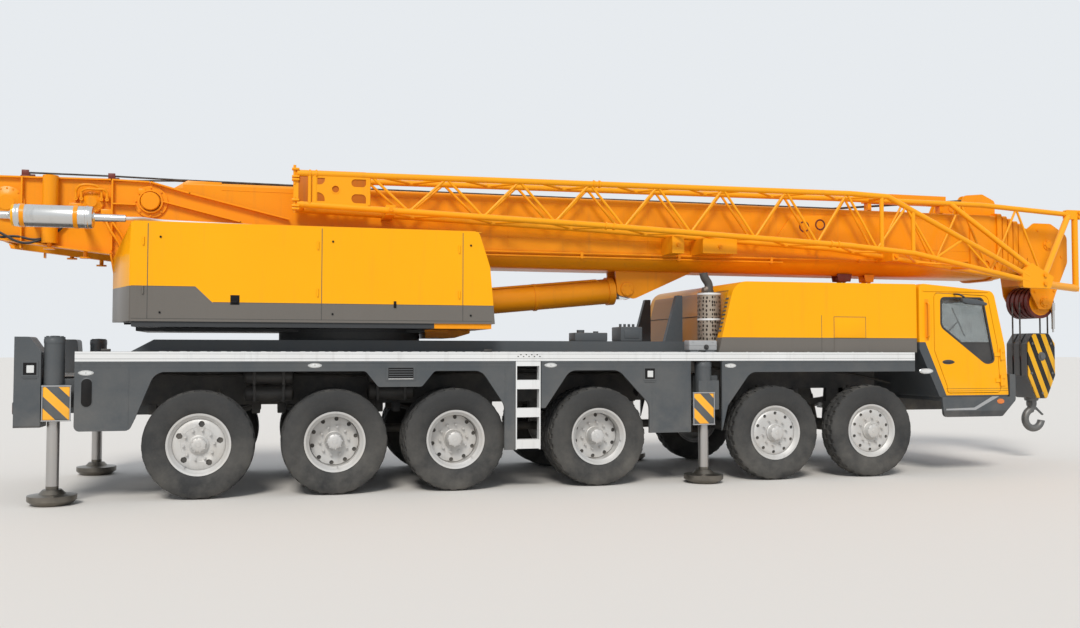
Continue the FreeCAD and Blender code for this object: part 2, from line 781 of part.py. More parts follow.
def build_cover():
    """Closed machinery cover on the right of the turntable, and the silencer beside the tail."""
    profile = [
        (cover_x[0], cover_top, 40), (cover_x[0], bed_high), (cover_x[1], bed_high),
        (cover_x[1] - 60, 2690, 60), (cover_x[1] - 200, cover_top, 60),
    ]
    cover = prism(profile, "xz", -cover_y[1], -cover_y[0])
    x, y, z = silencer_at
    silencer = bar(silencer_radius, (x, y, z), (x + silencer_length, y, z))
    end = x + silencer_length
    pipes = [bar(38, (x - 170, y, z), (x + 1, y, z)), bar(38, (end - 1, y, z), (end + 330, y, z))]
    reach = (y, -bed_plate_y[1] - seat_gap)
    arms = [block((x + at, x + at + 50), reach, (z - 30, z + 30)) for at in (60, 600)]
    save("machinery_cover", cover, join(silencer, *pipes, *arms))


station_outer = [
    (-3150, 3300, 60), (-1900, 3300, 120), (-1560, 2500, 150), (-1560, bed_high, 60), (-3150, bed_high, 40),
]
station_y = (660.0, 1440.0)
station_wall = 35.0
station_door = [(-2950, 3200, 50), (-2950, 2060, 40), (-2120, 2060, 40), (-2120, 3200, 50)]
station_axis = -2965.0
station_hinges = [2200.0, 2900.0]
station_window = [(-2880, 3130, 40), (-2880, 2500, 40), (-2190, 2500, 40), (-2190, 3130, 40)]


def build_station():
    """Hollow crane operator's cab on the left of the turntable, its door, glass and seat."""
    low_y, high_y = station_y
    outer = prism(station_outer, "xz", low_y, high_y)
    inner = grown(station_outer, -station_wall, low_y + station_wall, high_y - station_wall)
    doorway = grown(station_door, door_gap, high_y - station_wall - 10, high_y + 10)
    front = block((-1800, -1500), (low_y + 80, high_y - 80), (2150, 2450))
    screen = block((-2040, -1500), (low_y + 80, high_y - 80), (2560, 3080))
    shell = cut(outer, inner, doorway, front, screen)
    halves = []
    for low in station_hinges:
        halves += hinge_half(low, station_axis - 70, station_axis, high_y, False)
    shell = join(shell, *halves)
    save("operator_cab", shell)
    panel = prism(station_door, "xz", high_y - station_wall, high_y)
    hole = prism(station_window, "xz", high_y - station_wall - 1, high_y + 1)
    door = cut(panel, hole)
    halves = []
    for low in station_hinges:
        halves += hinge_half(low, station_axis + 90, station_axis, high_y, True)
    door = join(door, *halves)
    save("operator_door", door)
    middle = high_y - station_wall / 2
    save("operator_door_glass", grown(station_window, -glass_gap, middle - 3, middle + 3))
    seat_low = bed_high + station_wall
    seat_z = seat_low + 300
    cushion = [(-2860, seat_z), (-2340, seat_z), (-2340, seat_z + 120, 40), (-2860, seat_z + 100)]
    back = [(-2920, seat_z + 100), (-2800, seat_z + 90), (-2840, seat_z + 780, 40), (-2960, seat_z + 780, 40)]
    seat = join(
        block((-2800, -2450), (900, 1250), (seat_low, seat_z)),
        prism(cushion, "xz", 840, 1300),
        prism(back, "xz", 860, 1280),
    )
    save("operator_seat", seat)


winch_places = [(-7050.0, 3300.0), (-6450.0, 3300.0)]
winch_reach = 430.0


def build_winches():
    """Two rope drums between the tail's side plates."""
    solids = []
    for x, z in winch_places:
        drum = bar(170, (x, -winch_reach, z), (x, winch_reach, z))
        rims = [bar(270, (x, y, z), (x, y + 25, z)) for y in (-winch_reach, winch_reach - 25)]
        stubs = bar(60, (x, -bed_plate_y[0], z), (x, bed_plate_y[0], z))
        solids.append(join(drum, stubs, *rims))
    save("winches", *solids)


def section_box(k, low, high, shrink):
    """Boom cross-section: flat top, deeply rounded bottom; k counts sections inward."""
    step = boom_wall + boom_slip
    half = boom_wide / 2 - k * step - shrink
    bottom = boom_low + k * step + shrink
    top = boom_high - k * step - shrink
    points = [
        (-half, top, 40 - shrink), (half, top, 40 - shrink),
        (half, bottom, half * 0.55), (-half, bottom, half * 0.55),
    ]
    return prism(points, "yz", low, high)


def tube(k, low, high):
    return cut(section_box(k, low, high, 0), section_box(k, low - 1, high + 1, boom_wall))


def section_ends(k):
    """Rear and front X of a boom section at rest."""
    return base_rear + 60 * k, base_front + head_step * k


def wear_pads(k):
    """Pads inside a section's front end that carry the next section, under, over and beside it."""
    front = section_ends(k)[1]
    step = k * (boom_wall + boom_slip)
    along = (front - 220, front - 40)
    reach = boom_slip - pad_gap
    half = boom_wide / 2 - step - boom_wall
    bottom = boom_low + step + boom_wall
    top = boom_high - step - boom_wall
    middle = (top + bottom) / 2
    under = block(along, (-130, 130), (bottom - 1, bottom + reach))
    over = block(along, (-130, 130), (top - reach, top + 1))
    beside = both_sides(block(along, (half - reach, half + 1), (middle, middle + 160)))
    return [under, over] + beside


collar_length = 80.0
head_plate_outline = [(5700, 3720), (5700, 2840), (6250, 2840), (6060, 3200, 60), (6060, 3720)]
head_plate_holes = [(5830, 3042, 28), (5980, 2985, 52), (6110, 2930, 34)]
hump_outline = [(5560, 3720), (5700, 4030, 80), (6020, 4060, 80), (6240, 3960, 60), (6240, 3720)]
rope_beam = (3950.0, 5300.0)


def collar(k):
    """Stiffening ring round the front end of a section."""
    front = section_ends(k)[1]
    ring = section_box(k - 1, front - collar_length, front, 0)
    return cut(ring, section_box(k, front - collar_length - 1, front + 1, boom_wall))


def base_head():
    """Drilled side plates, the rope guide hump and the box beam over the base section's front end."""
    plate_piece = prism(head_plate_outline, "xz", boom_wide / 2 - 2, boom_wide / 2 + 20)
    holes = [bar(r, (x, boom_wide / 2 + 2, z), (x, boom_wide / 2 + 22, z)) for x, z, r in head_plate_holes]
    humps = [prism(hump_outline, "xz", y, y + 25) for y in (250, 350)]
    roller = bar(60, (5950, 240, 3930), (5950, 380, 3930))
    pieces = both_sides(cut(plate_piece, *holes), roller, *humps)
    beam = block(rope_beam, (-480, -360), (3840, 3980))
    feet_x = rope_beam[0] + 40, rope_beam[1] - 100
    feet = [block((x, x + 60), (-470, -370), (boom_high - 2, 3850)) for x in feet_x]
    return pieces + [beam] + feet


def build_boom():
    """Base section with its foot, and the sections that slide out of it one after another."""
    rear, front = section_ends(0)
    body = tube(0, rear, front)
    cheek_y = boom_wide / 2 - 80, boom_wide / 2 - 5
    cheek = prism(
        [(rear + 20, 3000), (rear + 20, 3650), (-5830, 3640, 100), (-5990, 3540, 90),
         (-5990, 3360, 90), (-5830, 3260, 90)],
        "xz", *cheek_y)
    pin_x, pin_z = foot_pin
    pin_reach = bed_plate_y[1] + 30
    boss = bar(180, (pin_x, cheek_y[1] - 5, pin_z), (pin_x, bed_plate_y[0] - 15, pin_z))
    sleeve = bar(150, (pin_x, -cheek_y[0], pin_z), (pin_x, cheek_y[0], pin_z))
    foot = both_sides(cheek, boss) + [sleeve]
    pin = bar(foot_pin_radius, (pin_x, -pin_reach, pin_z), (pin_x, pin_reach, pin_z))
    bracket = both_sides(prism(
        [(200, boom_low + boom_wall - 4), (230, 2450, 80), (480, 2400, 90), (1350, boom_low + boom_wall - 4)],
        "xz", 160, 200))
    save("boom_base", join(body, pin, collar(0), *foot, *bracket, *base_head(), *wear_pads(0)))
    for k in range(1, section_count):
        rear, front = section_ends(k)
        section = tube(k, rear, front)
        if k < section_count - 1:
            section = join(section, collar(k), *wear_pads(k))
        if k == section_count - 1:
            section = join(section, *boom_head(front))
        save("boom_section_%d" % (k + 1), section)


def along_cylinder(s):
    """Point on the luffing cylinder's axis at a distance from its lower pin."""
    dx, dz = luff_eye[0] - luff_base[0], luff_eye[1] - luff_base[1]
    length = math.hypot(dx, dz)
    return luff_base[0] + dx * s / length, luff_base[1] + dz * s / length


def cylinder_piece(radius, low, high):
    (ax, az), (bx, bz) = along_cylinder(low), along_cylinder(high)
    return bar(radius, (ax, 0, az), (bx, 0, bz))


def build_luff_cylinder():
    """Barrel pinned to the bed and rod whose eye meets the boom's bracket."""
    length = math.hypot(luff_eye[0] - luff_base[0], luff_eye[1] - luff_base[1])
    end = length - 155
    eye = bar(125, (luff_base[0], -140, luff_base[1]), (luff_base[0], 140, luff_base[1]))
    pin = bar(luff_pin_radius, (luff_base[0], -225, luff_base[1]), (luff_base[0], 225, luff_base[1]))
    barrel = join(
        cylinder_piece(luff_barrel_radius, 560, end), cylinder_piece(luff_barrel_radius + 20, end - 90, end),
        cylinder_piece(110, 60, 570), eye, pin,
    )
    bore = cylinder_piece(luff_rod_radius + shaft_slack, 600, end + 1)
    save("luff_cylinder_barrel", cut(barrel, bore))
    rod_eye = bar(135, (luff_eye[0], -140, luff_eye[1]), (luff_eye[0], 140, luff_eye[1]))
    save("luff_cylinder_rod", join(cylinder_piece(luff_rod_radius, 640, length - 40), rod_eye))


# Lattice jib chords: points from the rear tip to the foot, X, Y, Z
jib_near_y = -1100.0
jib_far_y = -640.0
jib_near_top = [
    (-4110, jib_near_y, 3790), (3310, jib_near_y, 3850), (3900, jib_near_y, 3830), (6200, jib_near_y, 2770),
]
jib_near_low = [
    (-4110, jib_near_y, 3420), (-310, jib_near_y, 3290), (3300, jib_near_y, 3130), (4310, jib_near_y, 3050),
    (6200, jib_near_y, 2700),
]
jib_far_top = [
    (-4110, jib_far_y, 3790), (3310, jib_far_y, 3850), (5770, jib_far_y, 3850), (7320, jib_far_y, 3765),
]
jib_far_low = [
    (-4110, jib_far_y, 3420), (-310, jib_far_y, 3290), (3300, jib_far_y, 3130), (7452, jib_far_y, 2640),
]
chord_radius = 38.0
lacing_radius = 17.0
# Lacing faces: two chords, first and last X, number of bays
lacing_faces = [
    (jib_near_top, jib_near_low, -3240, 5580, 19),
    (jib_far_top, jib_far_low, -3240, 6880, 21),
    (jib_near_top, jib_far_top, -3200, 3860, 14),
    (jib_near_low, jib_far_low, -3200, 5180, 16),
]
# Tubes of the foot frame at the front: radius, start, end
foot_tubes = [
    (38.0, (5250, jib_far_y, 3850), (6240, jib_near_y, 2900)),
    (45.0, (6480, jib_near_y, 2780), (7330, jib_far_y, 3740)),
    (55.0, (6420, jib_near_y, 2660), (7452, jib_far_y, 2640)),
    (45.0, (7452, jib_far_y, 2590), (7452, jib_far_y, 3740)),
]
foot_gusset = [(6080, 2830, 30), (6080, 2600, 30), (6560, 2590, 40), (6620, 2760, 30), (6240, 2960, 30)]
foot_fork = [(7270, 3690, 20), (7560, 3690, 20), (7560, 3830, 20), (7270, 3830, 20)]
foot_half = 35.0
# Frame tubes across the jib: two chords and the X of the tube
jib_frames = [
    (jib_near_top, jib_near_low, 4300), (jib_near_top, jib_near_low, 3800),
    (jib_near_top, jib_far_top, 3900), (jib_near_low, jib_far_low, 5260),
    (jib_near_top, jib_near_low, -3900), (jib_near_top, jib_far_top, -4050),
    (jib_near_low, jib_far_low, -4050),
]
frame_tube_radius = 30.0
# Brackets that carry the jib on the boom's side: rear X, front X, low Z, high Z, outer Y
jib_brackets = [
    (-3060, -2940, 3330, 3450, jib_near_y), (760, 930, 2980, 3210, -900.0), (1200, 1700, 2990, 3190, -900.0),
    (4100, 4200, 2960, 3080, -900.0),
]


def on_chord(chord, x):
    """Point of a chord's centre line at an X."""
    for (ax, ay, az), (bx, by, bz) in zip(chord, chord[1:]):
        if x <= bx:
            t = (x - ax) / (bx - ax)
            return x, ay + (by - ay) * t, az + (bz - az) * t
    return chord[-1]


def chord_tube(chord):
    """Round tube along a chord, mitred where the chord bends."""
    path = Part.makePolygon([V(*p) for p in chord])
    ring = Part.Wire(Part.Circle(V(*chord[0]), V(*chord[1]) - V(*chord[0]), chord_radius).toShape())
    return path.makePipeShell([ring], True, False, 1)


def lacing(first, second, start, end, bays):
    """Zigzag of tubes between two chords."""
    step = (end - start) / bays
    nodes = [on_chord((first, second)[i % 2], start + i * step) for i in range(bays + 1)]
    return [bar(lacing_radius, a, b) for a, b in zip(nodes, nodes[1:])]


def build_jib():
    """Stowed lattice jib: four chords, zigzag lacing, slotted end plates and the two foot forks."""
    members = []
    for chord in (jib_near_top, jib_near_low, jib_far_top, jib_far_low):
        members.append(chord_tube(chord))
    for face in lacing_faces:
        members += lacing(*face)
    end_plate = prism(
        [(-4150, 3380, 30), (-4150, 3830, 30), (-3280, 3836, 30), (-3280, 3350, 30)], "xz", 0, 16)
    holes = [bar(95, (-3960, -1, 3605), (-3960, 17, 3605))]
    holes += [block((x, x + 90), (-1, 17), (3500, 3700)) for x in (-3780, -3660, -3540, -3420)]
    plate_piece = cut(end_plate, *holes)
    for y in (jib_near_y - 8, jib_far_y - 8):
        placed = plate_piece.copy()
        placed.translate(V(0, y, 0))
        members.append(placed)
    members.append(prism(foot_gusset, "xz", jib_near_y - foot_half, jib_near_y + foot_half))
    members.append(prism(foot_fork, "xz", jib_far_y - foot_half, jib_far_y + foot_half))
    members += [bar(radius, start, end) for radius, start, end in foot_tubes]
    members += [bar(frame_tube_radius, on_chord(a, x), on_chord(b, x)) for a, b, x in jib_frames]
    boom_side = -boom_wide / 2 - seat_gap
    for rear, front, low, high, outer in jib_brackets:
        members.append(block((rear, front), (outer, boom_side), (low, high)))
    save("lattice_jib", join(*members))


head_y = 295.0
head_plate = 22.0
sheave_x = 7165.0
sheave_z = 2440.0
sheave_radius = 245.0
sheave_wide = 60.0
guide_x = 7240.0
guide_z = 3330.0
head_sheaves = [-230, -130, -30, 70, 170]


def boom_head(front):
    """Side plates with the upper guide sheaves and the lower head sheaves, carried by the last section."""
    inset = (section_count - 1) * (boom_wall + boom_slip) + 10
    high = boom_high - inset
    low = boom_low + inset + 180
    side = prism(
        [(front - 300, high), (front - 300, low), (front + 20, low), (front + 30, 2900, 40),
         (front + 80, 2560, 80), (sheave_x - 110, 2330, 60), (sheave_x + 110, 2330, 60),
         (sheave_x + 220, 2600, 80), (front_x, 3060, 120), (front_x, 3480, 120), (7300, 3660, 100),
         (front + 140, 3660, 60), (front + 20, high)],
        "xz", head_y, head_y + head_plate,
    )
    wheels = []
    for x, z in ((sheave_x, sheave_z), (guide_x, guide_z)):
        wheels += [bar(sheave_radius, (x, y, z), (x, y + sheave_wide, z)) for y in head_sheaves]
        wheels.append(bar(45, (x, -head_y - 1, z), (x, head_y + 1, z)))
    across = (-head_y - 1, head_y + 1)
    ties = [block((7530, 7570), across, (3120, 3420)), block((front + 40, front + 80), across, (2700, 3000))]
    return both_sides(side) + ties + wheels


hook_x = sheave_x
hook_y = (-215.0, 215.0)
hook_sheave_z = 1600.0
hook_outline = [
    (-260, 1296, 60), (-100, 948, 40), (100, 948, 40), (260, 1296, 60), (260, 1800, 60), (150, 1959, 40),
    (-150, 1959, 40), (-260, 1800, 60),
]
rope_radius = 11.0
rope_y = (-80.0, 80.0)
hook_slot_half = 22.0
hook_sheave_half = 15.0
hook_ring_z = 622.0
hook_ring = 150.0
hook_bar = 55.0


def build_hook():
    """Hook block with side plates and sheaves, the hook below it and its rope falls."""
    body = prism([(hook_x + p[0],) + p[1:] for p in hook_outline], "xz", *hook_y)
    along = (hook_x - 300, hook_x + 300)
    slots = [block(along, (y - hook_slot_half, y + hook_slot_half), (1300, 2000)) for y in rope_y]
    half = hook_sheave_half
    sheaves = [
        bar(sheave_radius, (hook_x, y - half, hook_sheave_z), (hook_x, y + half, hook_sheave_z))
        for y in rope_y
    ]
    axle = bar(50, (hook_x, hook_y[0], hook_sheave_z), (hook_x, hook_y[1], hook_sheave_z))
    ring_middle = V(hook_x + 30, 0, hook_ring_z)
    shank = bar(60, (hook_x, 0, hook_ring_z + hook_ring - 10), (hook_x, 0, 960))
    bend = Part.makeTorus(hook_ring, hook_bar, ring_middle, V(0, 1, 0), -180, 180, 250)
    bend.rotate(ring_middle, V(0, 1, 0), 100)
    block_body = join(cut(body, *slots), shank, bend, axle, *sheaves)
    reach = sheave_radius + rope_radius + seat_gap
    falls = []
    for x in (hook_x - reach, hook_x + reach):
        falls += [bar(rope_radius, (x, y, hook_sheave_z), (x, y, sheave_z)) for y in rope_y]
    save("hook_block", block_body, *falls)


def main():
    os.makedirs("parts", exist_ok=True)
    build_wheels()
    build_frame()
    build_deck()
    build_skirts()
    build_ladders()
    build_axles()
    build_knuckles()
    build_outrigger_boxes()
    build_outriggers()
    build_cab()
    build_doors()
    build_cab_inside()
    build_bumpers()
    build_engine()
    build_hood()
    build_exhaust()
    build_boom_rest()
    build_ring()
    build_turntable()
    build_cover()
    build_station()
    build_winches()
    build_boom()
    build_luff_cylinder()
    build_jib()
    build_hook()


main()
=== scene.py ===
import math
import bpy
import bmesh
from mathutils import Matrix, Vector


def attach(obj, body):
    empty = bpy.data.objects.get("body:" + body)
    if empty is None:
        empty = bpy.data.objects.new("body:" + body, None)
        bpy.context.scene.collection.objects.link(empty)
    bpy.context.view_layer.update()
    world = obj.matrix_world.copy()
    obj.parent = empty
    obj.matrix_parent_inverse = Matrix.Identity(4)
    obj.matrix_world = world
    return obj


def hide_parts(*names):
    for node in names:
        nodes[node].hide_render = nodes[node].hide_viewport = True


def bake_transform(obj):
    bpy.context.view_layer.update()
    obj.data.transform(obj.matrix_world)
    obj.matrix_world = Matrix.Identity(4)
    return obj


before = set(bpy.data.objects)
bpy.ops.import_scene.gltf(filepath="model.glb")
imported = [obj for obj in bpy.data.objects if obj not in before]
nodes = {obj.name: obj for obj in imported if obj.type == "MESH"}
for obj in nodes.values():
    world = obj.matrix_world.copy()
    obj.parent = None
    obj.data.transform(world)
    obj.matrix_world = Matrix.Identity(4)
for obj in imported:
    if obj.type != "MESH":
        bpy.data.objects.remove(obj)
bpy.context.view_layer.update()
scene = bpy.context.scene
print("frame loaded:", len(nodes), "nodes")

# camera and studio
camera = {"place": (-4.333, -13.361, 1.668), "yaw": 14.71, "pitch": 2.13, "roll": -0.07, "lens": 33.49}
studio = {
    "floor": (0.74, 0.71, 0.67, 1), "backdrop": (0.8, 0.83, 0.86, 1), "ambient": (0.86, 0.92, 1.0, 1),
    "ambientPower": 0.62, "sun": 2.3, "sunSpread": 18, "sunTurn": (48, 0, -20), "floorSize": 260,
}


def makeCamera():
    data = bpy.data.cameras.new("camera")
    data.lens = camera["lens"]
    data.sensor_width = 36
    data.clip_end = 500
    view = bpy.data.objects.new("camera", data)
    view.location = camera["place"]
    view.rotation_euler = [math.radians(a) for a in (90 + camera["pitch"], camera["roll"], -camera["yaw"])]
    scene.collection.objects.link(view)
    scene.camera = view


def makeStudio():
    scene.view_settings.view_transform = "Standard"
    sun = bpy.data.lights.new("sun", "SUN")
    sun.energy = studio["sun"]
    sun.angle = math.radians(studio["sunSpread"])
    sun.color = (1.0, 0.97, 0.92)
    lamp = bpy.data.objects.new("sun", sun)
    lamp.rotation_euler = [math.radians(a) for a in studio["sunTurn"]]
    scene.collection.objects.link(lamp)
    world = bpy.data.worlds.new("studio")
    world.use_nodes = True
    scene.world = world
    tree = world.node_tree
    back = tree.nodes["Background"]
    back.inputs["Color"].default_value = studio["ambient"]
    back.inputs["Strength"].default_value = studio["ambientPower"]
    shown = tree.nodes.new("ShaderNodeBackground")
    shown.inputs["Color"].default_value = studio["backdrop"]
    path = tree.nodes.new("ShaderNodeLightPath")
    mix = tree.nodes.new("ShaderNodeMixShader")
    either = path.outputs["Is Camera Ray"]
    for ray in ("Is Glossy Ray", "Is Transmission Ray"):
        most = tree.nodes.new("ShaderNodeMath")
        most.operation = "MAXIMUM"
        tree.links.new(either, most.inputs[0])
        tree.links.new(path.outputs[ray], most.inputs[1])
        either = most.outputs[0]
    tree.links.new(either, mix.inputs[0])
    tree.links.new(back.outputs[0], mix.inputs[1])
    tree.links.new(shown.outputs[0], mix.inputs[2])
    tree.links.new(mix.outputs[0], tree.nodes["World Output"].inputs["Surface"])
    bm = bmesh.new()
    bmesh.ops.create_grid(bm, x_segments=2, y_segments=2, size=studio["floorSize"])
    mesh = bpy.data.meshes.new("floor")
    bm.to_mesh(mesh)
    bm.free()
    floor = bpy.data.objects.new("floor", mesh)
    floor.location.z = -0.002
    paint = bpy.data.materials.new("floorPaint")
    paint.use_nodes = True
    shader = paint.node_tree.nodes["Principled BSDF"]
    shader.inputs["Base Color"].default_value = studio["floor"]
    shader.inputs["Roughness"].default_value = 0.9
    mesh.materials.append(paint)
    scene.collection.objects.link(floor)


makeCamera()
makeStudio()
print("camera and studio ready")


# shader groups
def newGroup(name, inputs, outputs):
    group = bpy.data.node_groups.new(name, "ShaderNodeTree")
    for label, kind, value in inputs:
        plug = group.interface.new_socket(name=label, in_out="INPUT", socket_type="NodeSocket" + kind)
        plug.default_value = value
    for label, kind in outputs:
        group.interface.new_socket(name=label, in_out="OUTPUT", socket_type="NodeSocket" + kind)
    return group, group.nodes.new("NodeGroupInput"), group.nodes.new("NodeGroupOutput")


def addNode(tree, kind, settings=None, values=None):
    node = tree.nodes.new("ShaderNode" + kind)
    for key, value in (settings or {}).items():
        setattr(node, key, value)
    for key, value in (values or {}).items():
        node.inputs[key].default_value = value
    return node


def doMath(tree, operation, a, b=None, clamp=False):
    node = addNode(tree, "Math", {"operation": operation, "use_clamp": clamp})
    for plug, value in zip(node.inputs, (a, b)):
        if value is None:
            continue
        if isinstance(value, (int, float)):
            plug.default_value = value
        else:
            tree.links.new(value, plug)
    return node.outputs[0]


def rampOf(tree, source, low, high):
    node = addNode(tree, "MapRange", {"clamp": True}, {"From Min": low, "From Max": high})
    tree.links.new(source, node.inputs["Value"])
    return node.outputs["Result"]


def placeOf(tree):
    return addNode(tree, "TexCoord").outputs["Object"]


def noiseOf(tree, place, scale, detail=4, rough=0.55):
    node = addNode(tree, "TexNoise", None, {"Scale": scale, "Detail": detail, "Roughness": rough})
    tree.links.new(place, node.inputs["Vector"])
    return node.outputs["Fac"]


def mixColour(tree, factor, a, b):
    node = addNode(tree, "Mix", {"data_type": "RGBA"})
    for plug, value in ((node.inputs[0], factor), (node.inputs[6], a), (node.inputs[7], b)):
        if isinstance(value, (int, float, tuple)):
            plug.default_value = value
        else:
            tree.links.new(value, plug)
    return node.outputs[2]


def makeWeathering():
    # sand dust that lies on faces turned up and on the lower parts, and grime that runs down
    group, given, put = newGroup("weathering", [
        ("Color", "Color", (0.8, 0.8, 0.8, 1)), ("Dust Color", "Color", (0.5, 0.44, 0.36, 1)),
        ("Dust", "Float", 0.3), ("Grime", "Float", 0.2), ("Variation", "Float", 0.1),
        ("Low", "Float", 0.2), ("High", "Float", 2.0), ("Roughness", "Float", 0.4),
    ], [("Color", "Color"), ("Roughness", "Float"), ("Dust", "Float")])
    links = group.links
    place = placeOf(group)
    facing = addNode(group, "SeparateXYZ")
    links.new(addNode(group, "NewGeometry").outputs["Normal"], facing.inputs[0])
    level = addNode(group, "SeparateXYZ")
    links.new(place, level.inputs[0])
    up = rampOf(group, facing.outputs["Z"], 0.35, 0.95)
    lower = addNode(group, "MapRange", {"clamp": True}, {"To Min": 1.0, "To Max": 0.0})
    links.new(level.outputs["Z"], lower.inputs["Value"])
    links.new(given.outputs["Low"], lower.inputs["From Min"])
    links.new(given.outputs["High"], lower.inputs["From Max"])
    settle = doMath(group, "MAXIMUM", up, lower.outputs[0])
    patchy = rampOf(group, noiseOf(group, place, 2.3, 6, 0.62), 0.34, 0.72)
    fine = rampOf(group, noiseOf(group, place, 38, 4), 0.3, 0.75)
    cover = doMath(group, "MULTIPLY", doMath(group, "MULTIPLY", settle, patchy), given.outputs["Dust"])
    cover = doMath(group, "ADD", cover, doMath(group, "MULTIPLY",
            doMath(group, "MULTIPLY", fine, given.outputs["Dust"]), 0.06), True)
    streaks = addNode(group, "Mapping", None, {"Scale": (7.0, 7.0, 0.5)})
    links.new(place, streaks.inputs[0])
    runs = rampOf(group, noiseOf(group, streaks.outputs[0], 1.6, 5, 0.6), 0.55, 0.8)
    grime = doMath(group, "MULTIPLY", runs, given.outputs["Grime"])
    shade = addNode(group, "HueSaturation")
    links.new(given.outputs["Color"], shade.inputs["Color"])
    swing = doMath(group, "MULTIPLY", doMath(group, "SUBTRACT", noiseOf(group, place, 0.9, 3), 0.5),
                   given.outputs["Variation"])
    links.new(doMath(group, "ADD", swing, 1.0), shade.inputs["Value"])
    dirty = mixColour(group, grime, shade.outputs[0], (0.09, 0.075, 0.06, 1))
    final = mixColour(group, cover, dirty, given.outputs["Dust Color"])
    links.new(final, put.inputs["Color"])
    links.new(doMath(group, "ADD", given.outputs["Roughness"], doMath(group, "MULTIPLY", cover, 0.45),
                     True), put.inputs["Roughness"])
    links.new(cover, put.inputs["Dust"])
    return group


def makeWear():
    # small chips and scratches that show primer or bare metal
    group, given, put = newGroup("chips", [
        ("Color", "Color", (0.8, 0.8, 0.8, 1)), ("Bare", "Color", (0.25, 0.16, 0.11, 1)),
        ("Amount", "Float", 0.3), ("Scale", "Float", 14.0),
    ], [("Color", "Color"), ("Mask", "Float")])
    place = placeOf(group)
    spots = addNode(group, "TexNoise", None, {"Detail": 8.0, "Roughness": 0.7})
    group.links.new(place, spots.inputs["Vector"])
    group.links.new(given.outputs["Scale"], spots.inputs["Scale"])
    edge = doMath(group, "SUBTRACT", 0.8, doMath(group, "MULTIPLY", given.outputs["Amount"], 0.2))
    mask = doMath(group, "MULTIPLY", doMath(group, "SUBTRACT", spots.outputs["Fac"], edge), 30, True)
    group.links.new(mixColour(group, mask, given.outputs["Color"], given.outputs["Bare"]),
                    put.inputs["Color"])
    group.links.new(mask, put.inputs["Mask"])
    return group


weathering = makeWeathering()
chips = makeWear()


def newMaterial(name):
    material = bpy.data.materials.new(name)
    material.use_nodes = True
    return material, material.node_tree, material.node_tree.nodes["Principled BSDF"]


def addBump(tree, shader, height, strength, distance=0.01):
    bump = addNode(tree, "Bump", None, {"Strength": strength, "Distance": distance})
    tree.links.new(height, bump.inputs["Height"])
    tree.links.new(bump.outputs[0], shader.inputs["Normal"])


